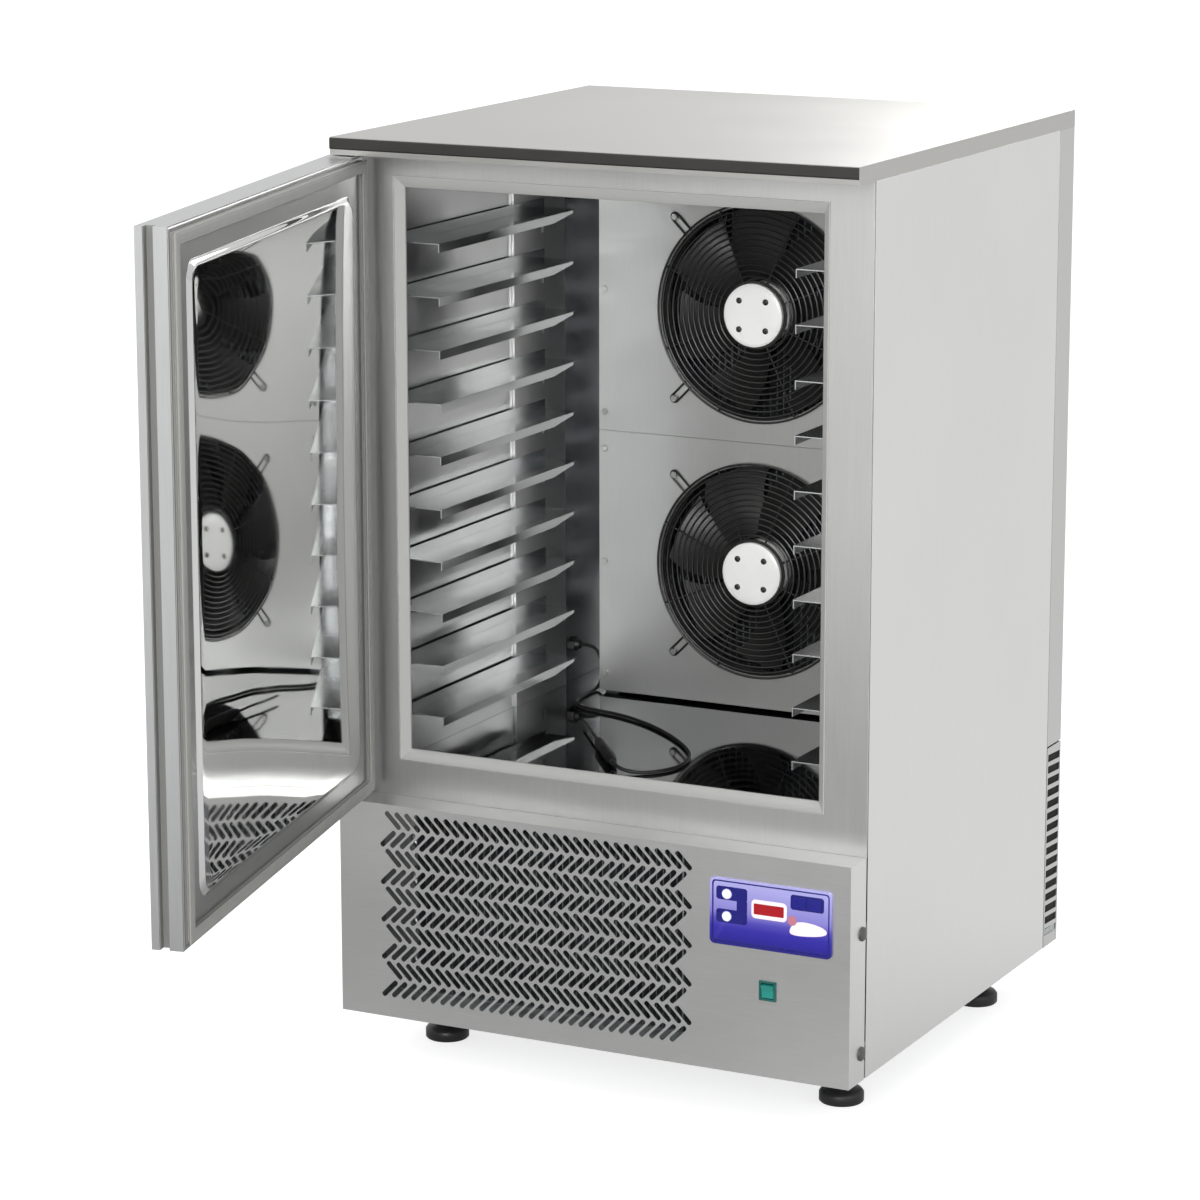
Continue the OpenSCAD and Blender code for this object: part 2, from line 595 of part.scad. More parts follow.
// One sheet folded back all round; the slots form chevrons, leaning one way then the other
module front_panel() color("lightgray") place() {
  yplate(0, sheet) difference() {
    square([body_w, lower_h]);
    for (r = [0:slot_rows - 1], i = [0:slots_per_row - 1])
      translate([field_x + slot_pitch * (i + (r % 2) / 2), field_z + row_h * (r + 0.5)])
        slot(r % 2 == 0 ? 1 : -1);
    translate([ctrl_x + 6, ctrl_z + 6]) square([ctrl_w - 12, ctrl_h - 12]);
    translate([sw_x - sw_w / 2 + 2, sw_z - sw_h / 2 + 2]) square([sw_w - 4, sw_h - 4]);
  }
  difference() {
    box([0, sheet - e, 0], [body_w, setback, lower_h]);
    box([sheet, 0, sheet], [body_w - sheet, setback + 1, lower_h - sheet]);
    translate([hinge_x, hinge_y, lower_h - 5]) cylinder(r = 4.5, h = 10);
    for (z = clip_z) translate([-1, 38, z]) rotate([0, 90, 0]) cylinder(r = 2.3, h = body_w + 2);
  }
}

// The control panel's housing: a raised rim, wells for the keys and the display behind it
module key_outline(i, grow) {
  p = keys[i];
  if (i < 2) translate(p) circle(d = 13 + 2 * grow, $fn = 48);
  else translate([p[0] - 9.5 - grow, p[1] - 7.5 - grow]) rounded(19 + 2 * grow, 15 + 2 * grow, 2);
}
disp_x = 61;
disp_z = 45;
disp_w = 45;
disp_h = 17;
module ctrl_plate(y0, y1) translate([ctrl_x, 0, ctrl_z]) yplate(y0, y1) children();
module control_bezel() color("mediumblue") place() {
  ctrl_plate(-3, 0) difference() {
    rounded(ctrl_w, ctrl_h, 7);
    translate([3, 3]) rounded(ctrl_w - 6, ctrl_h - 6, 5);
  }
  ctrl_plate(-2, 0) difference() {
    translate([3 - e, 3 - e]) rounded(ctrl_w - 6 + 2 * e, ctrl_h - 6 + 2 * e, 5);
    for (i = [0:3]) key_outline(i, 0.3);
    translate([disp_x, disp_z]) square([disp_w, disp_h]);
  }
  // the box behind, which closes every well and guides the stems of the keys
  ctrl_plate(-e, 5) difference() {
    translate([7, 7]) square([ctrl_w - 14, ctrl_h - 14]);
    translate([disp_x, disp_z]) square([disp_w, disp_h]);
    for (i = [0:3]) key_outline(i, 0.3);
  }
  difference() {
    ctrl_plate(5 - e, 34) translate([7, 7]) square([ctrl_w - 14, ctrl_h - 14]);
    for (k = keys) ycyl([ctrl_x + k[0], 4, ctrl_z + k[1]], 2.05, 12);
  }
}
module control_display() color("firebrick") place()
  ctrl_plate(-1.2, 4.95) translate([disp_x + 0.2, disp_z + 0.2]) square([disp_w - 0.4, disp_h - 0.4]);
// A key: a cap that stands proud of the plate, on its stem
module key(i) {
  ctrl_plate(-3.2, 3.4) key_outline(i, 0);
  ycyl([ctrl_x + keys[i][0], 3.4 - e, ctrl_z + keys[i][1]], 2, 9);
}
module start_key() color("white") place() key(0);
module stop_key() color("white") place() key(1);
module mode_key() color("navy") place() key(2);
module set_key() color("navy") place() key(3);

// The power switch: a snap-in frame and a rocker on its pin
rock_deg = 9;
module switch_bezel() color("black") place() translate([sw_x, 0, sw_z]) {
  difference() {
    box([-sw_w / 2, -2, -sw_h / 2], [sw_w / 2, 0, sw_h / 2]);
    box([-sw_w / 2 + 3, -3, -sw_h / 2 + 3], [sw_w / 2 - 3, 1, sw_h / 2 - 3]);
  }
  difference() {
    box([-sw_w / 2 + 2.1, -e, -sw_h / 2 + 2.1], [sw_w / 2 - 2.1, 22, sw_h / 2 - 2.1]);
    box([-sw_w / 2 + 3, -1, -sw_h / 2 + 3], [sw_w / 2 - 3, 14, sw_h / 2 - 3]);
  }
  translate([-sw_w / 2 + 3 - e, 6, 0]) rotate([0, 90, 0]) cylinder(d = 3, h = sw_w - 6 + 2 * e);
}
// In section a shallow V with its pin bore through the middle; the lower half is pressed in
module switch_rocker() color("teal") place() translate([sw_x, 6, sw_z]) rotate([rock_deg, 0, 0])
  translate([-sw_w / 2 + 3.5, 0, 0]) rotate([90, 0, 90]) difference() {
    linear_extrude(sw_w - 7)
      polygon([[-8.5, -8.4], [-7, 0], [-8.5, 8.4], [-4, 9], [3, 3], [3, -3], [-4, -9]]);
    translate([0, 0, -1]) cylinder(d = 3.1, h = sw_w);
  }

// Pivot plates under the lower panel's top and over the front return, with their pins
module hinge_brackets() color("silver") place() {
  for (s = [0, 1]) {
    zp = s == 0 ? lower_h - sheet - 2.5 : body_h - top_t + sheet;
    box([4, 6, zp], [44, 46, zp + 2.5]);
    z0 = s == 0 ? zp : dz1 - 22;
    z1 = s == 0 ? dz0 + 22 : zp + 2.5;
    translate([hinge_x, hinge_y, z0]) cylinder(r = 4, h = z1 - z0);
  }
}

// ---- Feet ----

// Threaded sockets under the base, and the feet that screw into them
socket_h = 34;
module foot_sockets() color("dimgray") place() for (f = feet) translate([f[0], f[1], 0]) difference() {
  union() {
    translate([0, 0, -socket_h]) cylinder(r1 = 17, r2 = 20, h = socket_h);
    translate([0, 0, -4]) cylinder(r = 30, h = 4);
  }
  translate([0, 0, -socket_h - 1]) cylinder(r = 6.05, h = 31);
}
module foot(i) translate([feet[i][0], feet[i][1], -foot_h]) {
  rotate_extrude()
    polygon([[0, 0], [28, 0], [30, 2], [30, 13], [27, 17], [15, 22], [14, 38.5], [0, 38.5]]);
  translate([0, 0, 38]) cylinder(r = 6, h = 27);
}
module front_left_foot() color("black") place() foot(0);
module front_right_foot() color("black") place() foot(1);
module rear_left_foot() color("black") place() foot(2);
module rear_right_foot() color("black") place() foot(3);

// ---- Refrigeration unit ----

// A welded shell in two halves, on three rubber feet, with its terminal cover
module compressor() color("black") place() translate([comp_x, comp_y, 0]) {
  rotate_extrude() polygon([[0, 24], [60, 24], [78, 32], [86, 52], [86, 118], [90, 120],
    [90, 126], [86, 128], [86, 176], [76, 206], [52, 222], [0, 228]]);
  for (a = [30, 150, 270]) rotate([0, 0, a]) {
    box([50, -20, 22], [122, 20, 26]);
    translate([108, 0, 2]) cylinder(r = 13, h = 20 + e);
  }
  box([-30, -104, 80], [30, -80, 160]);
  for (x = [-40, 40]) translate([x, 0, 200]) cylinder(r = 9, h = 30);
}
// Fins between top and bottom trays and two end plates, behind the slotted panel
module condenser_coil() color("lightslategray") place() {
  z0 = 14;
  z1 = 278;
  for (x = [cond_x0 - 2, cond_x1]) box([x, cond_y - 4, 2], [x + 2, cond_y + cond_t + 4, z1]);
  for (z = [z0 - 2, z1 - 2]) box([cond_x0 - e, cond_y - 4, z], [cond_x1 + e, cond_y + cond_t + 4, z + 2]);
  for (i = [1:39], x = [cond_x0 + 10 * i])
    box([x - 0.4, cond_y, z0 - e], [x + 0.4, cond_y + cond_t, z1 - 2 + e]);
  for (y = [cond_y + 15, cond_y + 45], i = [0:3])
    translate([cond_x0 - 2, y, 56 + 56 * i]) rotate([90, 0, 0]) rotate([0, 0, 90])
      bend(tube_pitch / 2);
}
module condenser_shroud() color("gray") place() {
  y = cond_y + cond_t + 4;
  difference() {
    box([cond_x0 - 2, y, 2], [cond_x1 + 2, y + 2, 278]);
    ycyl([cfan_x, y - 1, cfan_z], 116, 4);
  }
  difference() {
    ycyl([cfan_x, y + 2 - e, cfan_z], 118, 26);
    ycyl([cfan_x, y - 1, cfan_z], 116, 32);
  }
  // the stay that carries the motor
  box([cfan_x - 14, y + 62, 2], [cfan_x + 14, y + 65, cfan_z - 34.3]);
  box([cfan_x - 40, y + 60, 2], [cfan_x + 40, y + 100, 4]);
}
cfan_y = cond_y + cond_t + 12;
module condenser_fan_motor() color("dimgray") place() difference() {
  union() {
    ycyl([cfan_x, cfan_y + 38, cfan_z], 34, 58);
    ycyl([cfan_x, cfan_y + 32, cfan_z], 14, 6 + e);
    box([cfan_x - 14, cfan_y + 54, cfan_z - 60], [cfan_x + 14, cfan_y + 54 + 5, cfan_z - 20]);
  }
  ycyl([cfan_x, cfan_y + 20, cfan_z], 4.05, 30);
  box([cfan_x - 15, cfan_y + 54 - 1, cfan_z - 61], [cfan_x + 15, cfan_y + 57, cfan_z - 34.2]);
}
module condenser_impeller() color("gray") place() translate([cfan_x, cfan_y, cfan_z]) rotate([-90, 0, 0]) {
  cylinder(r = 28, h = 22);
  translate([0, 0, 22 - e]) cylinder(r = 4, h = 24);
  for (a = [0:72:359]) rotate([0, 0, a]) translate([0, 0, 11]) blade(26.5, 110, 70, 4, 1.8);
}
module liquid_receiver() color("darkslategray") place() translate([250, 560, 0]) {
  rotate_extrude()
    polygon([[0, 22], [30, 22], [42, 30], [46, 42], [46, 190], [42, 202], [30, 210], [0, 210]]);
  difference() {
    translate([0, 0, 2]) cylinder(r = 40, h = 22);
    translate([0, 0, 1]) cylinder(r = 36, h = 20);
  }
}
feed_z = coil_z0 + tube_pitch;
module refrigerant_pipes() color("peru") place() {
  // discharge: compressor to condenser
  pipe_run([[comp_x - 40, comp_y, 230], [comp_x - 40, comp_y, 250], [comp_x - 40, 250, 250],
    [490, 250, 250], [490, cond_y + 30, 250], [cond_x1 + 2, cond_y + 30, 250]], 4);
  // liquid: condenser to receiver, then through the drier and up to the evaporator
  pipe_run([[cond_x1 + 2, cond_y + 30, 40], [500, cond_y + 30, 40], [500, 300, 40], [340, 300, 40],
    [340, 560, 40], [296, 560, 40]], 4);
  pipe_run([[250, 560, 210], [250, 560, 240], [250, 662, 240], [riser_x[0], 662, 240],
    [riser_x[0], riser_y, 240], [riser_x[0], riser_y, feed_z], [coil_x1, riser_y, feed_z]], 4);
  translate([400, 662, 240]) rotate([0, 90, 0]) rotate_extrude()
    polygon([[0, 0], [5, 0], [16, 14], [16, 86], [5, 100], [0, 100]]);
  // suction: evaporator to compressor
  pipe_run([[coil_x1, riser_y - 40, feed_z], [riser_x[1], riser_y - 40, feed_z],
    [riser_x[1], riser_y, feed_z], [riser_x[1], riser_y, 270], [riser_x[1], comp_y, 270],
    [comp_x + 40, comp_y, 270], [comp_x + 40, comp_y, 230]], 6);
}
module electrical_box() color("gainsboro") place() difference() {
  union() {
    box([540, 60, 2], [542, 170, 200]);
    box([542 - e, 60, 170], [body_w - 7, 170, 172]);
    box([560, 70, 172 - e], [725, 160, 276]);
  }
  box([562, 72, 174], [723, 161, 274]);
}

// ---- Door, drawn shut ----

// The section across the door, drawn in by t: folded skin with a deep groove down the free edge
grip_y0 = 10;
grip_y1 = 23;
module door_outline(t, back) polygon([[dx0 + t, t], [dx1 - t, t], [dx1 - t, grip_y0 - t],
  [dx1 - grip_d - t, grip_y0 - t], [dx1 - grip_d - t, grip_y1 + t], [dx1 - t, grip_y1 + t],
  [dx1 - t, back], [dx0 + t, back]]);
module pin_holes(r) for (z = [dz0 - 1, dz1 - 24]) translate([hinge_x, hinge_y, z]) cylinder(r = r, h = 25);
module door_skin() color("lightgray") place() door_pose() difference() {
  translate([0, 0, dz0]) linear_extrude(dz1 - dz0) door_outline(0, door_t);
  translate([0, 0, dz0 + sheet]) linear_extrude(dz1 - dz0 - 2 * sheet) door_outline(sheet, door_t + 1);
  pin_holes(4.6);
}
// The pressed inner panel: a flat rim and a raised, bevelled field with round corners
rim_side = 58;
rim_end = 48;
module field(grow, y0, y1) {
  bevel = 7;
  intersection() {
    translate([0, 0, dz0]) linear_extrude(dz1 - dz0)
      polygon([[dx0 + rim_side - grow, y0], [dx1 - rim_side + grow, y0],
        [dx1 - rim_side - bevel + grow, y1], [dx0 + rim_side + bevel - grow, y1]]);
    translate([dx0, 0, 0]) rotate([90, 0, 90]) linear_extrude(dx1 - dx0)
      polygon([[y0, dz0 + rim_end - grow], [y0, dz1 - rim_end + grow],
        [y1, dz1 - rim_end - bevel + grow], [y1, dz0 + rim_end + bevel - grow]]);
    translate([dx0 + rim_side - grow, 0, dz0 + rim_end - grow]) yplate(y0, y1)
      rounded(dx1 - dx0 - 2 * rim_side + 2 * grow, dz1 - dz0 - 2 * rim_end + 2 * grow, 22);
  }
}
module door_liner() color("silver") place() door_pose() difference() {
  union() {
    box([dx0 + sheet, door_t - sheet, dz0 + sheet], [dx1 - sheet, door_t, dz1 - sheet]);
    field(0, door_t - 0.5, door_t + 5);
  }
  translate([0, -1.5, 0]) field(-1, door_t - 0.51, door_t + 5);
}
module door_core() color("khaki") place() door_pose() difference() {
  translate([0, 0, dz0 + sheet]) linear_extrude(dz1 - dz0 - 2 * sheet)
    door_outline(sheet, door_t - sheet);
  pin_holes(9.1);
}
// Three steps of a hollow magnetic seal: clipped base, neck and soft head
module seal_ring(inner, outer, y0, y1) difference() {
  box([dx0 + outer, y0, dz0 + outer], [dx1 - outer, y1, dz1 - outer]);
  box([dx0 + inner, y0 - 1, dz0 + inner], [dx1 - inner, y1 + 1, dz1 - inner]);
}
module door_gasket() color("lightgray") place() door_pose() {
  seal_ring(23, 7, door_t, door_t + 2.5);
  seal_ring(20, 10, door_t + 2.5 - e, door_t + 4.5);
  seal_ring(22, 7.5, door_t + 4.5 - e, setback - 0.6);
}
module door_grip() color("black") place() door_pose() difference() {
  box([dx1 - grip_d, grip_y0, dz0], [dx1 - 1, grip_y1, dz1]);
  box([dx1 - grip_d + 1, grip_y0 + 1, dz0 - 1], [dx1 + 1, grip_y1 - 1, dz1 + 1]);
}
module door_bushes() color("white") place() door_pose() difference() {
  for (z = [dz0 + sheet, dz1 - sheet - 22]) translate([hinge_x, hinge_y, z]) cylinder(r = 9, h = 22);
  translate([hinge_x, hinge_y, dz0 - 1]) cylinder(r = 4.05, h = dz1 - dz0 + 2);
}

base_pan();
machine_frame();
left_side_panel();
right_side_panel();
back_panel();
rear_grille();
top_panel();
top_edge_trim();
door_surround();
breaker_strip();
chamber_liner();
insulation_foam();
chamber_drain();
rack_uprights();
left_runners();
right_runners();
upper_fan_panel();
lower_fan_panel();
panel_screws();
side_screws();
evaporator_coil();
evaporator_bends();
upper_fan_guard();
lower_fan_guard();
upper_fan_motor();
lower_fan_motor();
cable_gland();
probe_cable();
core_probe();
front_panel();
control_bezel();
control_display();
switch_bezel();
hinge_brackets();
foot_sockets();
compressor();
condenser_coil();
condenser_shroud();
condenser_fan_motor();
liquid_receiver();
refrigerant_pipes();
electrical_box();
door_skin();
door_core();
door_liner();
door_gasket();
door_grip();
door_bushes();
upper_impeller();
lower_impeller();
condenser_impeller();
start_key();
stop_key();
mode_key();
set_key();
switch_rocker();
front_left_foot();
front_right_foot();
rear_left_foot();
rear_right_foot();
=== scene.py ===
import bpy, bmesh, json, math
import numpy as np
from mathutils import Matrix, Vector

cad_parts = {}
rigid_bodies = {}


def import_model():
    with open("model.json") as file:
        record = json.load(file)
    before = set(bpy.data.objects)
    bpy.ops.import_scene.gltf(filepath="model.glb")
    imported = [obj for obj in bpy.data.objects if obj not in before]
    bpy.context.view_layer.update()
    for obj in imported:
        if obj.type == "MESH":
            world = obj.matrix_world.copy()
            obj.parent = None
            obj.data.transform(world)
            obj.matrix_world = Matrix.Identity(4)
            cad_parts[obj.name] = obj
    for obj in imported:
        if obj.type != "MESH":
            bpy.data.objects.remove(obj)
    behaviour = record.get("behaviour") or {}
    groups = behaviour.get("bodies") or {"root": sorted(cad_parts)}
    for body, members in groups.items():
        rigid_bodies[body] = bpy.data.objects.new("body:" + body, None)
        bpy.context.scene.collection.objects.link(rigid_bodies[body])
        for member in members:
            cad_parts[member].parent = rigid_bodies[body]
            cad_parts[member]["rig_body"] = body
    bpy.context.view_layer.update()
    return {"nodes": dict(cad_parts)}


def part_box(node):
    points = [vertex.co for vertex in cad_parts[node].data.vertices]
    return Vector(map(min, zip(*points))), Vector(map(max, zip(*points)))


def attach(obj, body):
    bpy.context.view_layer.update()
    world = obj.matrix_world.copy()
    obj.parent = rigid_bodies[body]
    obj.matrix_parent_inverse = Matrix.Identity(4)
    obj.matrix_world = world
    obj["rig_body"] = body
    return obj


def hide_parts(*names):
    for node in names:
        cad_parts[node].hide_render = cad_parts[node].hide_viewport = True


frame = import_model()
nodes = frame["nodes"]
print("stage: frame loaded,", len(nodes), "nodes")

# All sizes below are millimetres in the cabinet's own frame: x from its left side, y from the front
# of the lower panel, z from the bottom edge of the panels. cab() takes them to metres in the row frame.
cabZero = np.array(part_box("front_panel")[0])


def cab(x, y, z):
    return cabZero + np.array([x, y, z]) / 1000


def cabArray(points):  # the same for an array of points
    return cabZero + np.asarray(points, float) / 1000


# The camera

# Solved from the cabinet's edges in the photograph, with the picture's centre on the lens axis
photoCamera = {"place": (2832.5, -4800.3, 1811.4), "turn": -26.937, "down": 12.586, "roll": -0.075,
               "lens": 128.44}


def addCamera(facts):
    turn, down, roll = (math.radians(facts[k]) for k in ("turn", "down", "roll"))
    ahead = Vector((math.sin(turn) * math.cos(down), math.cos(turn) * math.cos(down), -math.sin(down)))
    level = Vector((math.cos(turn), -math.sin(turn), 0))
    upright = level.cross(ahead)
    right = level * math.cos(roll) + upright * math.sin(roll)
    up = -level * math.sin(roll) + upright * math.cos(roll)
    data = bpy.data.cameras.new("photoCamera")
    data.lens, data.sensor_width, data.sensor_fit = facts["lens"], 36, "HORIZONTAL"
    data.clip_start, data.clip_end = 0.1, 200
    cam = bpy.data.objects.new("photoCamera", data)
    bpy.context.scene.collection.objects.link(cam)
    axes = Matrix((right, up, -ahead)).transposed().to_4x4()
    cam.matrix_world = Matrix.Translation(Vector(cab(*facts["place"]))) @ axes
    bpy.context.scene.camera = cam


addCamera(photoCamera)
bpy.context.scene.view_settings.view_transform = "Standard"

# Helpers that make meshes


def gridFaces(rows, cols, closedRows=False, closedCols=False):
    # quads between neighbouring points of a rows by cols grid, as index arrays
    i = np.arange(rows if closedRows else rows - 1)[:, None]
    j = np.arange(cols if closedCols else cols - 1)[None, :]
    i2, j2 = (i + 1) % rows, (j + 1) % cols
    quads = np.stack([i * cols + j, i2 * cols + j, i2 * cols + j2, i * cols + j2], -1)
    return quads.reshape(-1, 4)


def joined(shells):
    # several (points, faces) surfaces as one, by shifting each one's indices past the ones before
    points, faces, start = [], [], 0
    for p, f in shells:
        points.append(p)
        faces += [[int(k) + start for k in face] for face in f]
        start += len(p)
    return np.concatenate(points), faces


def tube(path, radius, sides=10, closed=False):
    # a circle carried along a path: its plane is square to the path's own direction, and its first
    # point keeps pointing the way that the last plane's did
    path = np.asarray(path, float)
    ahead = np.roll(path, -1, 0) - np.roll(path, 1, 0) if closed else np.gradient(path, axis=0)
    ahead /= np.linalg.norm(ahead, axis=1)[:, None]
    normal = np.zeros_like(path)
    seed = np.array([0.02, 0.05, 1.0]) if abs(ahead[0][2]) < 0.9 else np.array([1.0, 0.05, 0.02])
    for k in range(len(path)):  # one step per ring of the path
        seed = seed - ahead[k] * seed.dot(ahead[k])
        seed /= np.linalg.norm(seed)
        normal[k] = seed
    side = np.cross(ahead, normal)
    angle = np.linspace(0, 2 * math.pi, sides, endpoint=False)
    r = np.broadcast_to(np.asarray(radius, float), (len(path),))[:, None, None]
    cos, sin = np.cos(angle)[None, :, None], np.sin(angle)[None, :, None]
    ring = path[:, None] + r * (cos * normal[:, None] + sin * side[:, None])
    faces = gridFaces(len(path), sides, closed, True).tolist()
    if not closed:
        faces += [list(range(sides)), list(range((len(path) - 1) * sides, len(path) * sides))[::-1]]
    return ring.reshape(-1, 3), faces


def revolved(profile, centre, sides=64, closed=True):
    # a profile of (radius, distance along y) points turned about a line through centre along y
    profile = np.asarray(profile, float)
    angle = np.linspace(0, 2 * math.pi, sides, endpoint=False)
    r, y = profile[:, 0][:, None], profile[:, 1][:, None]
    points = np.stack([r * np.cos(angle), y + 0 * angle, r * np.sin(angle)], -1).reshape(-1, 3)
    return points + np.asarray(centre, float), gridFaces(len(profile), sides, closed, True).tolist()


def turned(points, centre, degrees):
    # points turned about a line along y through centre
    a = math.radians(degrees)
    p = np.asarray(points, float) - centre
    return np.stack([p[:, 0] * math.cos(a) - p[:, 2] * math.sin(a), p[:, 1],
                     p[:, 0] * math.sin(a) + p[:, 2] * math.cos(a)], -1) + centre


def tidyNormals(obj):
    # doubles merged, then every face of a closed shell points outwards
    bm = bmesh.new()
    bm.from_mesh(obj.data)
    bmesh.ops.remove_doubles(bm, verts=bm.verts, dist=1e-6)
    bmesh.ops.recalc_face_normals(bm, faces=bm.faces)
    bm.to_mesh(obj.data)
    bm.free()


def newPiece(name, shell, material, body, smooth=35, replaces=()):
    # shell is in cabinet millimetres
    points, faces = shell
    mesh = bpy.data.meshes.new(name)
    mesh.from_pydata(cabArray(points).tolist(), [], [list(map(int, f)) for f in faces])
    obj = bpy.data.objects.new(name, mesh)
    bpy.context.scene.collection.objects.link(obj)
    tidyNormals(obj)
    mesh.shade_smooth()
    if smooth:
        mesh.set_sharp_from_angle(angle=math.radians(smooth))
    mesh.materials.append(material)
    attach(obj, body)
    if replaces:
        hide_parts(*replaces)
    return obj


# Helpers that make materials


def hexColour(text):
    # sRGB hex to the linear colour that the shader wants
    srgb = np.array([int(text[k:k + 2], 16) / 255 for k in (1, 3, 5)])
    linear = np.where(srgb <= 0.04045, srgb / 12.92, ((srgb + 0.055) / 1.055) ** 2.4)
    return (*linear.tolist(), 1.0)


def newMaterial(name, colour, **surface):
    # a Principled surface; constants are set on its own sockets
    mat = bpy.data.materials.new(name)
    mat.use_nodes = True
    shader = mat.node_tree.nodes["Principled BSDF"]
    shader.inputs["Base Color"].default_value = hexColour(colour)
    mat.diffuse_color = hexColour(colour)
    for key, value in surface.items():
        shader.inputs[key.replace("_", " ")].default_value = value
    return mat, mat.node_tree, shader


def addNode(tree, kind, sockets=None, links=None, **settings):
    # one node with its settings, socket values and the outputs that feed it
    node = tree.nodes.new(kind)
    for key, value in settings.items():
        setattr(node, key, value)
    for key, value in (sockets or {}).items():
        node.inputs[key].default_value = value
    for key, source in (links or {}).items():
        tree.links.new(source, node.inputs[key])
    return node


def objectPlace(tree, stretch=(1, 1, 1), shift=(0, 0, 0), turn=(0, 0, 0)):
    # Object coordinates, centred, turned and stretched
    coord = addNode(tree, "ShaderNodeTexCoord")
    mapping = addNode(tree, "ShaderNodeMapping", {"Location": shift, "Rotation": turn, "Scale": stretch},
                      {"Vector": coord.outputs["Object"]})
    return mapping.outputs["Vector"]


def ramp(tree, source, stops):
    # a colour ramp from a list of (position, hex colour or grey value)
    node = addNode(tree, "ShaderNodeValToRGB", links={"Fac": source})
    elements = node.color_ramp.elements
    while len(elements) < len(stops):
        elements.new(0.5)
    for element, (place, colour) in zip(elements, stops):
        element.position = place
        element.color = hexColour(colour) if isinstance(colour, str) else (colour, colour, colour, 1)
    return node.outputs["Color"]


def noise(tree, scale, detail, stretch=(1, 1, 1), **more):
    # noise over Object coordinates, scale in cells per metre
    return addNode(tree, "ShaderNodeTexNoise", {"Scale": scale, "Detail": detail, **more},
                   {"Vector": objectPlace(tree, stretch)}).outputs["Fac"]


def feed(tree, shader, socket, source, stops):
    # a socket of the surface fed by a ramp
    tree.links.new(ramp(tree, source, stops), shader.inputs[socket])


def addBump(tree, shader, height, depth, strength=1.0):
    # depth in metres
    bump = addNode(tree, "ShaderNodeBump", {"Strength": strength, "Distance": depth}, {"Height": height})
    tree.links.new(bump.outputs["Normal"], shader.inputs["Normal"])


def brushedSteel(name, colour, grainMm, alongMm, along="z", roughness=(0.28, 0.40), bumpDepth=0.00002,
                 clouds=0.05):
    # satin finished 304 sheet: fine parallel scratches from the belt, and a slow clouding where the
    # protective film was; the scratches are drawn a little wider than they are, so that they show
    mat, tree, shader = newMaterial(name, colour, Metallic=1.0)
    scale = [1000 / grainMm] * 3
    scale["xyz".index(along)] = 1000 / alongMm
    scratches = noise(tree, 1.0, 3.0, tuple(scale), Roughness=0.6)
    cloud = noise(tree, 3.2, 2.0)
    mixed = addNode(tree, "ShaderNodeMath", {1: 0.65}, {0: scratches}, operation="MULTIPLY")
    both = addNode(tree, "ShaderNodeMath", {1: 0.35}, {0: cloud, 2: mixed.outputs[0]},
                   operation="MULTIPLY_ADD")
    feed(tree, shader, "Roughness", both.outputs[0], [(0.3, roughness[0]), (0.7, roughness[1])])
    linear = np.array(hexColour(colour)[:3])
    tone = addNode(tree, "ShaderNodeValToRGB", links={"Fac": both.outputs[0]})
    for element, place, share in zip(tone.color_ramp.elements, (0.3, 0.7), (1 - clouds, 1 + clouds)):
        element.position, element.color = place, (*np.clip(linear * share, 0, 1).tolist(), 1)
    tree.links.new(tone.outputs["Color"], shader.inputs["Base Color"])
    addBump(tree, shader, scratches, bumpDepth)
    return mat


def mouldedPlastic(name, colour, grainMm, roughness, depth=0.00003, **more):
    # injection-moulded plastic with a fine spark-eroded grain and a few shiny rubbed places
    mat, tree, shader = newMaterial(name, colour, Roughness=roughness, **more)
    grain = noise(tree, 1000 / grainMm, 2.0)
    feed(tree, shader, "Roughness", noise(tree, 22.0, 2.0),
         [(0.35, max(roughness - 0.08, 0)), (0.65, roughness + 0.06)])
    addBump(tree, shader, grain, depth, 0.5)
    return mat


def shinySteel(name, colour, roughness, polishedShadedBelow=None):
    # bright annealed sheet, close to a mirror, with faint rolling waves that bend its reflections;
    # below the height given, in metres above the ground, it is polished further, as a floor that is wiped every day,
    # and its colour there is a darker grey, which is painted shade
    mat, tree, shader = newMaterial(name, colour, Metallic=1.0)
    dull = ramp(tree, noise(tree, 9.0, 3.0), [(0.35, roughness[0]), (0.7, roughness[1])])
    if polishedShadedBelow:
        parts = addNode(tree, "ShaderNodeSeparateXYZ", links={"Vector": objectPlace(tree)})
        above = addNode(tree, "ShaderNodeMath", {1: polishedShadedBelow}, {0: parts.outputs["Z"]}, operation="GREATER_THAN")
        share = addNode(tree, "ShaderNodeMath", {1: 0.78, 2: 0.22}, {0: above.outputs[0]},
                        operation="MULTIPLY_ADD")
        dull = addNode(tree, "ShaderNodeMath", links={0: dull, 1: share.outputs[0]}, operation="MULTIPLY")
        dull = dull.outputs[0]
        # painted shade and painted reflection: the floor is given a darker grey than the walls, for the shade near the
        # rear and the dark things that it reflects
        feed(tree, shader, "Base Color", above.outputs[0], [(0.0, "#858687"), (1.0, colour)])
    tree.links.new(dull, shader.inputs["Roughness"])
    addBump(tree, shader, noise(tree, 5.0, 1.0), 0.0006)
    return mat


def galvanisedSteel(name, colour):
    # hot-dip zinc: crystals a centimetre across, each turned its own way, so each has its own grey
    mat, tree, shader = newMaterial(name, colour, Metallic=1.0, Roughness=0.45)
    spangle = addNode(tree, "ShaderNodeTexVoronoi", {"Scale": 95.0}, {"Vector": objectPlace(tree)})
    feed(tree, shader, "Roughness", spangle.outputs["Color"], [(0.0, 0.38), (1.0, 0.52)])
    feed(tree, shader, "Base Color", spangle.outputs["Color"], [(0.0, "#9da2a4"), (1.0, "#bfc3c4")])
    return mat


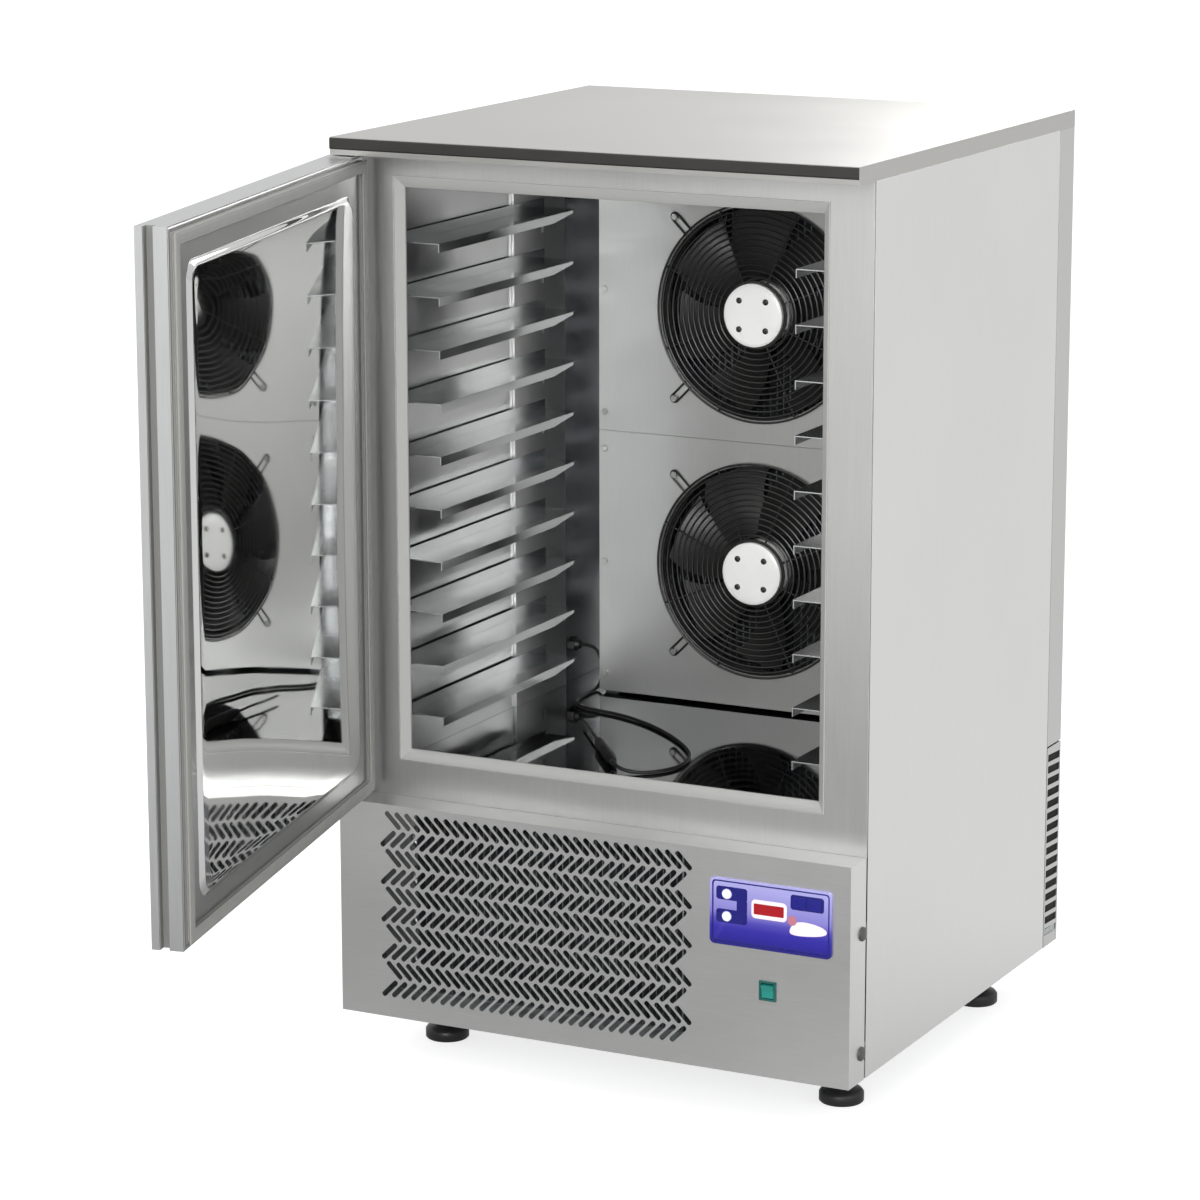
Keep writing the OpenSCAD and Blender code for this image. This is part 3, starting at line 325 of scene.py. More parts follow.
def enamel(name, colour, roughness, peelMm=2.5, **more):
    # stoved paint, with the slight orange peel that a spray gun leaves
    mat, tree, shader = newMaterial(name, colour, Roughness=roughness, Coat_Weight=0.15, Coat_Roughness=0.2,
                                    **more)
    addBump(tree, shader, noise(tree, 1000 / peelMm, 1.0), 0.00005, 0.6)
    return mat


def drawnCopper(name, colour):
    # drawn copper tube, bright between brown finger marks and heat stains near the brazing
    mat, tree, shader = newMaterial(name, colour, Metallic=1.0)
    stain = noise(tree, 26.0, 4.0)
    feed(tree, shader, "Base Color", stain, [(0.38, "#a35f3c"), (0.62, "#c98a66")])
    feed(tree, shader, "Roughness", stain, [(0.4, 0.42), (0.6, 0.24)])
    return mat


def rolledAluminium(name, colour):
    # fin stock: thin rolled aluminium, soft grey, with long rolling marks
    mat, tree, shader = newMaterial(name, colour, Metallic=1.0)
    feed(tree, shader, "Roughness", noise(tree, 1.0, 2.0, (600, 600, 25)), [(0.3, 0.36), (0.7, 0.52)])
    return mat


def cutFoam(name, colour):
    # rigid polyurethane foam: a closed skin over bubbles that a knife has opened here and there
    mat, tree, shader = newMaterial(name, colour, Roughness=0.85)
    bubbles = addNode(tree, "ShaderNodeTexVoronoi", {"Scale": 420.0}, {"Vector": objectPlace(tree)})
    feed(tree, shader, "Base Color", bubbles.outputs["Distance"], [(0.1, "#c9ad62"), (0.6, "#e3cf94")])
    addBump(tree, shader, bubbles.outputs["Distance"], 0.0004)
    return mat


def printedBlueFilm(name, colour):
    # polycarbonate film printed from behind: pale lavender at the top, which deepens to navy blue at the
    # foot, under a clear glossy skin
    mat, tree, shader = newMaterial(name, colour, Roughness=0.35, Coat_Weight=0.15, Coat_Roughness=0.1)
    low = cab(0, 0, 172)[2]  # foot of the panel, in metres above the ground
    perPanel = 1000 / 89  # panel heights in a metre
    place = objectPlace(tree, (1, 1, perPanel), (0, 0, -low * perPanel))
    parts = addNode(tree, "ShaderNodeSeparateXYZ", links={"Vector": place})
    feed(tree, shader, "Base Color", parts.outputs["Z"], [
        (0.0, "#1b1470"), (0.12, "#1d148c"), (0.26, "#2a2098"), (0.38, "#4a41a8"), (0.5, "#7d77c2"),
        (0.94, "#a5a2da")])
    return mat


# The finishes of this cabinet, some of them with painted shade where marked
finish = {
    "sideSheet": brushedSteel("satinStainlessSide", "#dcdcdb", 0.9, 70, "z"),
    # painted shade: the top's sheet is given a darker grey than the side's, for the darker light that it reflects
    "paintedShadeTopSheet": brushedSteel("satinStainlessTopPaintedShade", "#bab9b6", 0.9, 90, "x", roughness=(0.30, 0.42)),
    "frontSheet": brushedSteel("satinStainlessFront", "#d9d9d8", 0.9, 70, "x"),
    # painted shade: the frame's sheet is given a darker grey than the side's, so that it shows less bright
    "paintedShadeFrameSheet": brushedSteel("satinStainlessFramePaintedShade", "#cececd", 0.9, 70, "z"),
    "fanSheet": brushedSteel("satinStainlessFanPanel", "#b4b4b2", 0.9, 60, "z", roughness=(0.36, 0.48)),
    "doorSheet": brushedSteel("satinStainlessDoor", "#c2c3c3", 0.9, 70, "z"),
    "backSheet": brushedSteel("satinStainlessBack", "#c4c4c3", 0.9, 70, "z"),
    "rimSheet": brushedSteel("satinStainlessRim", "#adadac", 0.9, 60, "z", roughness=(0.34, 0.46)),
    # painted shade: below the chamber floor's height the liner's colour is a darker grey
    "liner": shinySteel("brightAnnealedStainless", "#c9cacb", (0.15, 0.27), cab(0, 0, 347.5)[2]),
    "doorMirror": shinySteel("mirrorPolishedStainless", "#cfd0cf", (0.02, 0.05)),
    "runner": shinySteel("bentStainlessRunner", "#c9cbcc", (0.16, 0.26)),
    "upright": brushedSteel("satinStainlessUpright", "#cfcfce", 0.9, 50, "z", roughness=(0.34, 0.46)),
    "zinc": galvanisedSteel("hotDipZinc", "#aeb3b5"),
    "screw": brushedSteel("zincPlatedScrew", "#8f8f8d", 0.4, 2, "y", roughness=(0.2, 0.35)),
    "trim": mouldedPlastic("darkExtrudedStrip", "#1f1e1b", 1.2, 0.5),
    "strip": mouldedPlastic("greyPvcStrip", "#a3a3a1", 1.5, 0.42),
    "seal": mouldedPlastic("softPvcSeal", "#8b8b88", 1.0, 0.6),
    "grip": mouldedPlastic("greyAbsGrip", "#7a7a78", 0.9, 0.5),
    "foam": cutFoam("rigidFoam", "#dcc382"),
    "fin": rolledAluminium("rolledFinStock", "#b8bcbf"),
    "copper": drawnCopper("drawnCopperTube", "#bd7a55"),
    "coated": enamel("blackCoatedTube", "#2a2624", 0.45),
    "wire": enamel("blackPowderCoat", "#141413", 0.38),
    "cover": enamel("whiteEnamelCover", "#fbfbf9", 0.35),
    "blade": enamel("blackBladeEnamel", "#2b2b2a", 0.42),
    "stator": enamel("blackMotorEnamel", "#1c1c1d", 0.4),
    "plastic": mouldedPlastic("blackAbs", "#191918", 0.8, 0.42),
    # painted shade: a near-black sheet put behind slots where there is only shade
    "slotShadeSheet": mouldedPlastic("paintedShadeSheet", "#121211", 1.6, 0.95, 0.0004),
    "nylon": mouldedPlastic("naturalNylon", "#e6e4d8", 1.0, 0.4),
    "cable": mouldedPlastic("blackSiliconeCable", "#161616", 0.9, 0.5),
    "blue": printedBlueFilm("printedPolycarbonateFilm", "#2a2ab0"),
    "display": mouldedPlastic("redAcrylicWindow", "#a3101c", 1.0, 0.2),
    "whiteKey": mouldedPlastic("whiteKeyCap", "#e9e9f4", 0.7, 0.3),
    "navyKey": mouldedPlastic("navyKeyCap", "#14157a", 0.7, 0.3),
    "navyPrint": mouldedPlastic("navyScreenPrint", "#151470", 1.0, 0.3),
    "whitePrint": mouldedPlastic("whiteScreenPrint", "#f1e4ea", 1.0, 0.3),
    "pinkPrint": mouldedPlastic("redScreenPrint", "#b87484", 1.0, 0.3),
    "teal": mouldedPlastic("tealRocker", "#1f8478", 0.7, 0.25),
    "darkTeal": mouldedPlastic("darkTealFrame", "#145650", 0.7, 0.3),
    "sideCap": mouldedPlastic("darkGreyCap", "#454545", 0.7, 0.45),
    "machine": enamel("blackShellEnamel", "#1b1c1d", 0.35),
    "greyFan": enamel("greyFanEnamel", "#55585b", 0.45),
}

nodeFinish = {
    "base_pan": "zinc", "machine_frame": "zinc", "left_side_panel": "sideSheet",
    "right_side_panel": "sideSheet", "back_panel": "backSheet", "rear_grille": "backSheet",
    "top_panel": "paintedShadeTopSheet", "top_edge_trim": "trim", "door_surround": "paintedShadeFrameSheet",
    "breaker_strip": "strip", "chamber_liner": "liner", "insulation_foam": "foam",
    "chamber_drain": "liner", "rack_uprights": "upright", "left_runners": "runner",
    "right_runners": "runner", "upper_fan_panel": "fanSheet", "lower_fan_panel": "fanSheet",
    "panel_screws": "screw", "side_screws": "sideCap", "evaporator_coil": "fin",
    "evaporator_bends": "coated", "upper_fan_guard": "wire", "lower_fan_guard": "wire",
    "upper_fan_motor": "cover", "lower_fan_motor": "cover", "cable_gland": "plastic",
    "probe_cable": "cable", "core_probe": "plastic", "front_panel": "frontSheet",
    "control_bezel": "blue", "control_display": "display", "switch_bezel": "darkTeal",
    "hinge_brackets": "screw", "foot_sockets": "plastic", "compressor": "machine",
    "condenser_coil": "fin", "condenser_shroud": "zinc", "condenser_fan_motor": "stator",
    "liquid_receiver": "machine", "refrigerant_pipes": "copper", "electrical_box": "zinc",
    "door_skin": "doorSheet", "door_core": "foam", "door_liner": "doorMirror", "door_gasket": "seal",
    "door_grip": "grip", "door_bushes": "nylon", "upper_impeller": "blade", "lower_impeller": "blade",
    "condenser_impeller": "greyFan", "start_key": "whiteKey", "stop_key": "whiteKey",
    "mode_key": "navyKey", "set_key": "navyKey", "switch_rocker": "teal", "front_left_foot": "plastic",
    "front_right_foot": "plastic", "rear_left_foot": "plastic", "rear_right_foot": "plastic"}
for nodeName, finishName in nodeFinish.items():
    slots = nodes[nodeName].data.materials
    slots.clear()
    slots.append(finish[finishName])
print("stage: materials set")

# The probe's cable

# The route's points are those of the solid model
probeCable = {"diameter": 5, "floor": 347, "probe": (342, 139), "probeTurn": 127, "sides": 14}


def cableRoute(facts):
    lay = facts["floor"] + facts["diameter"] / 2 + 0.3
    gland = facts["floor"] + 53
    turn = math.radians(facts["probeTurn"])
    probe = np.array([*facts["probe"], facts["floor"] + 8.5])
    points = [[77, 560, gland], [90, 560, 400], [104, 557, 396], [116, 550, 382], [122, 540, 364], [125, 524, 353],
              [126, 505, lay], [127, 480, lay], [129, 455, lay], [136, 430, lay], [152, 412, lay], [180, 402, lay],
              [215, 394, lay], [250, 380, lay], [285, 360, lay], [320, 334, lay], [352, 306, lay], [382, 274, lay],
              [406, 240, lay], [420, 205, lay], [422, 172, lay], [412, 144, lay], [394, 124, lay], [374, 117, lay + 2],
              [358, 121, lay + 4.6]]
    tail = probe - 9 * np.array([math.cos(turn), math.sin(turn), 0])
    points = np.array(points + [tail.tolist(), probe.tolist()])
    # Catmull-Rom: each stretch is a cubic whose end slopes are half the step between its neighbours
    ends = np.vstack([2 * points[0] - points[1], points, 2 * points[-1] - points[-2]])
    t = np.linspace(0, 1, 8, endpoint=False)[None, :, None]
    a, b, c, d = (ends[k:len(ends) - 3 + k, None] for k in range(4))
    curve = 0.5 * (2 * b + (c - a) * t + (2 * a - 5 * b + 4 * c - d) * t ** 2 + (3 * b - a - 3 * c + d) * t ** 3)
    return np.vstack([curve.reshape(-1, 3), points[-1:]])


cablePath = cableRoute(probeCable)
cable = newPiece("probeCable", tube(cablePath, probeCable["diameter"] / 2, probeCable["sides"]), finish["cable"],
                 "cabinet", replaces=("probe_cable",))

# Guards and blades of the chamber fans

chamberFan = {"x": 382, "panelY": 505, "heights": {"upper": 911, "lower": 548}, "guardRadius": 152,
              "wire": 3, "rings": 13, "plateRadius": 46, "blades": 7, "rootRadius": 48.5, "bladeRadius": 144,
              "halfChord": 41, "camber": 5, "bladeThick": 2.2, "cupLength": 50, "bladesBehindCup": 24,
              "lowerTurn": 31}


def guardDepth(r):
    # the spokes slope back 8 mm towards the rim
    inner = chamberFan["plateRadius"]
    return chamberFan["panelY"] - 11.5 + 8 * (r - inner) / (chamberFan["guardRadius"] - inner)


def cupFront():
    # y of the front rim of the turning cup
    return guardDepth(chamberFan["plateRadius"]) - 1 + 26


def guardShell(z):
    f = chamberFan
    centre = np.array([f["x"], 0, z])
    angle = np.linspace(0, 2 * math.pi, 96, endpoint=False)
    shells = []
    for k, r in enumerate(np.linspace(54, f["guardRadius"], f["rings"])):
        back = 0 if k == f["rings"] - 1 else 1.8
        path = centre + np.stack([r * np.cos(angle), 0 * angle + guardDepth(r) - back, r * np.sin(angle)], -1)
        shells.append(tube(path, f["wire"] / 2, 8, closed=True))
    spoke = np.array([[r, guardDepth(r), 0] for r in (44, f["guardRadius"])])
    for a in np.arange(22.5, 360, 45):
        shells.append(tube(turned(centre + spoke, centre, a), f["wire"] / 2, 10))
    half = np.radians(np.linspace(-90, 90, 13))
    start, wide, level = f["guardRadius"] - 2, 5.5, f["panelY"] - 1.7
    loop = np.stack([180 + wide * np.cos(half), 0 * half + level, wide * np.sin(half)], -1)
    ear = np.vstack([[start, level, -wide], loop, [start, level, wide]])
    for a in (45, 135, 225, 315):
        shells.append(tube(turned(centre + ear, centre, a), f["wire"] / 2, 10))
    y = guardDepth(f["plateRadius"]) - 1
    plate = [(31, y), (47.4, y), (48, y + 0.6), (48, y + 1.4), (47.4, y + 2), (31, y + 2)]
    shells.append(revolved(plate, centre, 64))
    return joined(shells)


def bladeShell(z, turn):
    # the solid model's blade surface on a finer grid, u from root to tip and v across; the cup here is
    # 10 mm longer than the solid model's, and the blades sit 4 mm further back on it
    f = chamberFan
    u, v = np.meshgrid(np.linspace(0, 1, 16), np.linspace(-1, 1, 14), indexing="ij")
    r = f["rootRadius"] + (f["bladeRadius"] - f["rootRadius"]) * u
    half = f["halfChord"] * (0.75 + 0.45 * u)
    pitch = np.radians(44 - 20 * u)
    a = v * half * np.cos(pitch) / r + np.radians(14 * u * u)
    depth = v * half * np.sin(pitch) + f["camber"] * (1 - v * v)
    centre = np.array([f["x"], 0, z])
    y = cupFront() + f["bladesBehindCup"]
    blade = np.stack([r * np.cos(a), y + depth, -r * np.sin(a)], -1)
    front, back = blade - [0, f["bladeThick"] / 2, 0], blade + [0, f["bladeThick"] / 2, 0]
    n, m = u.shape
    rim = np.concatenate([np.arange(m), np.arange(1, n) * m + m - 1, (n - 1) * m + np.arange(m - 2, -1, -1),
                          np.arange(n - 2, 0, -1) * m])
    quads = gridFaces(n, m)
    wall = np.stack([rim, np.roll(rim, -1), np.roll(rim, -1) + n * m, rim + n * m], -1)
    faces = np.vstack([quads, quads[:, ::-1] + n * m, wall])
    points = np.vstack([front.reshape(-1, 3), back.reshape(-1, 3)]) + centre
    shells = [(turned(points, centre, 360 * k / f["blades"] - turn), faces) for k in range(f["blades"])]
    y0, y1 = cupFront(), cupFront() + f["cupLength"]
    cup = [(46, y0), (49, y0), (50, y0 + 1), (50, y1 - 4), (46, y1), (0.01, y1), (0.01, y1 - 3), (45, y1 - 3),
           (46, y1 - 4)]
    shells.append(revolved(cup, centre, 72))
    shells.append(revolved([(0.01, y0 + 10), (5, y0 + 10), (5, y1 - 2.5), (0.01, y1 - 2.5)], centre, 32))
    return joined(shells)


for which, z in chamberFan["heights"].items():
    newPiece(which + "GuardWires", guardShell(z), finish["wire"], "cabinet",
             replaces=(which + "_fan_guard",))
    newPiece(which + "FanBlades", bladeShell(z, chamberFan["lowerTurn"] if which == "lower" else 0),
             finish["blade"], which + "_fan", replaces=(which + "_impeller",))


def screwHead(radius, height):
    # a domed head of the height, its face towards the front, as a profile of (radius, y)
    a = np.radians(np.linspace(0, 78, 8))
    rise = 0.35 + 0.65 * np.sin(a) / math.sin(math.radians(78))
    dome = np.stack([radius * np.cos(a), -height * rise], -1)
    return [(radius, 0.0), *dome.tolist(), (0.01, -height)]


# four dark screws on each motor's front disc, and one on each of the three ledges near the floor
discFront = guardDepth(chamberFan["plateRadius"]) - 8.9
for which, z in chamberFan["heights"].items():
    heads = [revolved(screwHead(4.3, 2.0), (chamberFan["x"] + dx, discFront, z + dz), 24)
             for dx in (-20, 20) for dz in (-20, 20)]
    newPiece(which + "MotorScrews", joined(heads), finish["stator"], "cabinet")
ledgeScrew, ledgeFaces = revolved(screwHead(4.0, 2.4), (0, 0, 0), 24)
ledgeHeads = [(ledgeScrew[:, [1, 0, 2]] * [-1, 1, 1] + [71.4, 66.5, 412 + 71 * k], ledgeFaces) for k in range(3)]
newPiece("ledgeScrews", joined(ledgeHeads), finish["stator"], "cabinet")

# painted shade: behind the slots of both rear corners stands a strip of near-black sheet, which stands in for the
# shade there: lowest corners, and its size
slotShadeSheet = {"corners": [(2.2, 690, 12), (745.6, 690, 12)], "size": (2.2, 47, 278)}
unitBox = np.array([[i, j, k] for i in (0, 1) for j in (0, 1) for k in (0, 1)])
boxFaces = [[0, 1, 3, 2], [4, 6, 7, 5], [0, 4, 5, 1], [2, 3, 7, 6], [0, 2, 6, 4], [1, 5, 7, 3]]
strips = [(np.array(low) + unitBox * slotShadeSheet["size"], boxFaces) for low in slotShadeSheet["corners"]]
newPiece("slotShadeBacking", joined(strips), finish["slotShadeSheet"], "cabinet", smooth=20)
print("stage: fans and fleece made")

# The door's inner panel and seal

door = {"hinge": (14, 23.6), "open": 77.5, "left": 3, "right": 747, "bottom": 298.5, "top": 1162.5, "thick": 40,
        "rimSide": 58, "rimEnd": 48, "raised": 5, "bevel": 7, "corner": 22, "bulge": 6.5}


def opened(points):
    # points of the shut door, swung open about the hinge pin
    a = math.radians(door["open"])
    p = np.asarray(points, float) - [*door["hinge"], 0]
    return np.stack([p[:, 0] * math.cos(a) + p[:, 1] * math.sin(a), p[:, 1] * math.cos(a) - p[:, 0] * math.sin(a),
                     p[:, 2]], -1) + [*door["hinge"], 0]


def roundedLoop(insetX, insetZ, radius, arc=12, along=14):
    # a rectangle inset from the door's edges, with quarter circles of the radius at its corners and
    # points along its sides
    x0, x1 = door["left"] + insetX + radius, door["right"] - insetX - radius
    z0, z1 = door["bottom"] + insetZ + radius, door["top"] - insetZ - radius
    a = np.radians(np.linspace(0, 90, arc))
    corner = [(x1, z1, 0), (x0, z1, 90), (x0, z0, 180), (x1, z0, 270)]
    arcs = [np.stack([x + radius * np.cos(a + math.radians(t)), z + radius * np.sin(a + math.radians(t))], -1)
            for x, z, t in corner]
    share = np.linspace(0, 1, along + 2)[1:-1, None]
    sides = [(1 - share) * arcs[k][-1] + share * arcs[(k + 1) % 4][0] for k in range(4)]
    return np.concatenate([part for pair in zip(arcs, sides) for part in pair])


def doorPanelShell():
    # a profile of (inset, height, corner) carried round the door: flat rim, soft foot, bevel and shoulder;
    # then ever smaller loops to the middle of the field, which the foam behind presses out by the bulge
    d = door
    s = np.linspace(0, 1, 11)
    rise = s * s * (3 - 2 * s)  # an S from rim to field
    rings = [(1.5, 0, 0.5), (4, 0, 1)] + [(d["rimSide"] + (d["bevel"] + 3) * t - 1.5, h * d["raised"],
                                           d["corner"]) for t, h in zip(s, rise)]
    loops = []
    for k, (inset, height, radius) in enumerate(rings):
        end = inset if k < 2 else inset - d["rimSide"] + d["rimEnd"]
        loop = roundedLoop(inset, end, radius)
        loops.append(np.stack([loop[:, 0], np.full(len(loop), d["thick"] + height), loop[:, 1]], -1))
    middle = (loop.max(0) + loop.min(0)) / 2
    half = (loop.max(0) - loop.min(0)) / 2
    for t in np.linspace(1, 0.02, 22)[1:]:
        x, z = (middle + (loop - middle) * t).T
        u, v = (x - middle[0]) / half[0], (z - middle[1]) / half[1]
        loops.append(np.stack([x, d["thick"] + d["raised"] + d["bulge"] * (1 - u * u) * (1 - v * v), z], -1))
    count = len(loops[0])
    faces = gridFaces(len(loops), count, False, True).tolist()
    faces.append(list(range((len(loops) - 1) * count, len(loops) * count)))
    return opened(np.concatenate(loops)), faces


doorPanel = newPiece("doorInnerPanel", doorPanelShell(), finish["doorMirror"], "door",
                     smooth=50, replaces=("door_liner",))
rimFaces = 3 * 4 * (12 + 14)  # three rings of faces make the satin rim
doorPanel.data.materials.append(finish["rimSheet"])
onRim = np.arange(len(doorPanel.data.polygons)) < rimFaces
doorPanel.data.polygons.foreach_set("material_index", onRim.astype(np.int32))
wall = doorPanel.modifiers.new("sheet", "SOLIDIFY")
wall.thickness, wall.offset = 0.0009, -1

doorSeal = {"start": 7, "end": 23, "height": 8.3}


def doorSealShell():
    # half of a soft magnetic seal: clipped base, waisted bellows and a flat head with a lip on each side,
    # as a closed section whose corners are mitred at the door's corners
    f = doorSeal
    mid, h = (f["start"] + f["end"]) / 2, f["height"]
    outer = np.array([(8.0, 0.0), (7.8, 0.9), (6.4, 1.7), (4.9, 2.4), (4.7, 3.2), (5.6, 3.9), (5.7, 4.5),
                      (7.0, 5.0), (8.0, 5.9), (8.0, 6.9), (7.3, 7.7), (6.2, 8.0), (5.6, 7.75), (5.0, 8.1),
                      (3.2, 8.3)])
    section = np.vstack([outer * [1, h / 8.3], (outer * [-1, h / 8.3])[::-1]]) + [mid, 0]
    left, right = door["left"] + section[:, 0], door["right"] - section[:, 0]
    low, high = door["bottom"] + section[:, 0], door["top"] - section[:, 0]
    x, z = np.stack([left, right, right, left]), np.stack([low, low, high, high])
    y = np.broadcast_to(door["thick"] + section[:, 1], x.shape)
    return opened(np.stack([x, y, z], -1).reshape(-1, 3)), gridFaces(4, len(section), True, True).tolist()


newPiece("doorSeal", doorSealShell(), finish["seal"], "door", smooth=50,
         replaces=("door_gasket",))
print("stage: door made")

# What is printed on the control panel

# From the panel's lower left corner: middles, sizes and corner radii of what is printed on its film
controls = {"left": 553, "bottom": 172, "width": 172, "height": 89, "face": -2,
            "keys": {"start": (24, 68, 6.5), "stop": (24, 38, 6.5)},
            "leftPatches": [(31, 69, 44, 18, 4), (31, 38.5, 44, 18, 4)], "leftBridge": (45.5, 53.5, 15, 16, 2),
            "rightPatch": (137.5, 69.5, 47, 20, 4), "border": 3.6,
            "display": (83.5, 53.5, 42.5, 14.5), "surround": (84, 53.5, 50, 25, 6), "dot": (116.5, 44.5, 6.5),
            "plaque": [(112, 33), (124, 46.5), (164, 41), (166, 29), (115, 24)]}


def roundedRing(x, z, w, h, r, count=64):
    # a rounded rectangle about (x, z): straight sides joined by quarter circles, as many points in each
    r = min(r, w / 2 - 0.01, h / 2 - 0.01)
    a = np.radians(np.linspace(0, 90, count // 4))
    corner = [(w / 2 - r, h / 2 - r, 0), (r - w / 2, h / 2 - r, 90), (r - w / 2, r - h / 2, 180),
              (w / 2 - r, r - h / 2, 270)]
    arcs = [(x + cx, z + cz, a + math.radians(t)) for cx, cz, t in corner]
    return np.concatenate([np.stack([px + r * np.cos(b), pz + r * np.sin(b)], -1) for px, pz, b in arcs])


def cutCorners(corners, rounds=3):
    # a polygon rounded by cutting its corners off again and again
    p = np.asarray(corners, float)
    for _ in range(rounds):
        ahead = np.roll(p, -1, 0)
        p = np.stack([0.75 * p + 0.25 * ahead, 0.25 * p + 0.75 * ahead], 1).reshape(-1, 2)
    return p


def filmShell(outer, inner=None, thick=0.12):
    # a printed inlay on the panel's face: its outline, and a cut-out or a closed middle
    f = controls
    front, back = f["face"] - thick, f["face"] + 0.05
    loops = [(outer, back), (outer, front)] + ([(inner, front), (inner, back)] if inner is not None else [])
    points = np.concatenate([np.stack([f["left"] + p[:, 0], np.full(len(p), y), f["bottom"] + p[:, 1]], -1)
                             for p, y in loops])
    n = len(outer)
    faces = gridFaces(len(loops), n, inner is not None, True).tolist()
    if inner is None:
        faces += [list(range(n)), list(range(n, 2 * n))]
    return points, faces


def addPrint(name, shell, finishName):
    # one colour of the printing, as a thin piece of its own
    newPiece(name, shell, finish[finishName], "cabinet", smooth=30)


patches = [filmShell(roundedRing(*box), roundedRing(x, z, 2 * r + 1.4, 2 * r + 1.4, r + 0.7))
           for box, (x, z, r) in zip(controls["leftPatches"], controls["keys"].values())]
bridge = filmShell(roundedRing(*controls["leftBridge"]), thick=0.08)
addPrint("leftKeyPrint", joined(patches + [bridge]), "navyPrint")
addPrint("rightKeyPrint", filmShell(roundedRing(*controls["rightPatch"]), thick=0.1),
         "navyPrint")
surround = filmShell(roundedRing(*controls["surround"]), roundedRing(*controls["display"], 1.5))
addPrint("displaySurround", surround, "whitePrint")
addPrint("barePlaque", filmShell(cutCorners(controls["plaque"]), thick=0.2), "whitePrint")
midX, midZ = controls["width"] / 2, controls["height"] / 2
filmWidth, filmHeight = controls["width"] - 7, controls["height"] - 7
inward = 4 - 2 * controls["border"]
panelRim = filmShell(roundedRing(midX, midZ, filmWidth + 0.6, filmHeight + 0.6, 5),
                     roundedRing(midX, midZ, filmWidth + inward, filmHeight + inward, 4), 0.1)
addPrint("panelBorder", panelRim, "navyPrint")
dotX, dotZ, dotRadius = controls["dot"]
addPrint("redDot", filmShell(roundedRing(dotX, dotZ, 2 * dotRadius, 2 * dotRadius, dotRadius), thick=0.26),
         "pinkPrint")
print("stage: control panel made")

# Sheet metal and turned parts with soft edges

# width of the rounded edge in millimetres, 0 for a turned part that only needs smooth shading
softEdges = {
    "top_panel": 0.7, "top_edge_trim": 0.3, "left_side_panel": 0.6, "right_side_panel": 0.6,
    "back_panel": 0.6, "rear_grille": 0.3, "front_panel": 0.35, "door_surround": 0.4,
    "breaker_strip": 0.6, "door_skin": 0.7, "left_runners": 0.5, "right_runners": 0.5,
    "rack_uprights": 0.5, "upper_fan_panel": 0.6, "lower_fan_panel": 0.6, "control_bezel": 0.4,
    "switch_bezel": 0.4, "switch_rocker": 0.4, "start_key": 0.5, "stop_key": 0.5, "mode_key": 0.5,
    "set_key": 0.5, "control_display": 0.2, "hinge_brackets": 0.3, "chamber_drain": 0,
    "upper_fan_motor": 0.6, "lower_fan_motor": 0.6, "cable_gland": 0.4, "core_probe": 0,
    "foot_sockets": 0.4, "compressor": 0.8, "liquid_receiver": 0.8, "condenser_fan_motor": 0.6,
    "refrigerant_pipes": 0, "evaporator_bends": 0, "panel_screws": 0.4, "side_screws": 0,
    "condenser_shroud": 0.4, "electrical_box": 0.4, "base_pan": 0.4, "machine_frame": 0.4,
    "front_left_foot": 0, "front_right_foot": 0, "rear_left_foot": 0, "rear_right_foot": 0,
    "condenser_impeller": 0.3, "door_grip": 0.2, "door_bushes": 0.2}


def camel(name):
    first, *rest = name.split("_")
    return first + "".join(w.capitalize() for w in rest)


def softened(nodeName, width):
    # a copy of the node with doubles merged and flat faces joined, so that a bevel can round its edges
    mesh = nodes[nodeName].data.copy()
    obj = bpy.data.objects.new(camel(nodeName), mesh)
    bpy.context.scene.collection.objects.link(obj)
    bm = bmesh.new()
    bm.from_mesh(mesh)
    bmesh.ops.remove_doubles(bm, verts=bm.verts, dist=2e-6)
    bmesh.ops.dissolve_limit(bm, angle_limit=math.radians(0.6), verts=bm.verts, edges=bm.edges)
    bm.to_mesh(mesh)
    bm.free()
    mesh.shade_smooth()
    mesh.set_sharp_from_angle(angle=math.radians(32))
    if width:
        bevel = obj.modifiers.new("softEdge", "BEVEL")
        bevel.width, bevel.segments, bevel.limit_method = width / 1000, 2, "ANGLE"
        bevel.angle_limit, bevel.harden_normals, bevel.use_clamp_overlap = math.radians(40), True, True
    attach(obj, nodes[nodeName]["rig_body"])
    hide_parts(nodeName)
    return obj


for nodeName, width in softEdges.items():
    softened(nodeName, width)
print("stage: edges softened")

# The studio

# painted reflection: the floor's darker grey and its pool of glow, which only reflected rays see
studio = {"floorSpan": 90, "floorGrey": "#b4b4b4", "paintedReflectionGrey": "#7d7d7d", "seenLift": 0.72,
          "worldHorizon": 0.8, "worldZenith": 0.95, "worldFront": 0.74, "paintedPoolShift": (0.1, 0.24, 0),
          "paintedReflectionLift": [(0.0, 0.0), (0.14, 0.05), (0.3, 0.34), (0.5, 0.6), (1.0, 0.66)]}


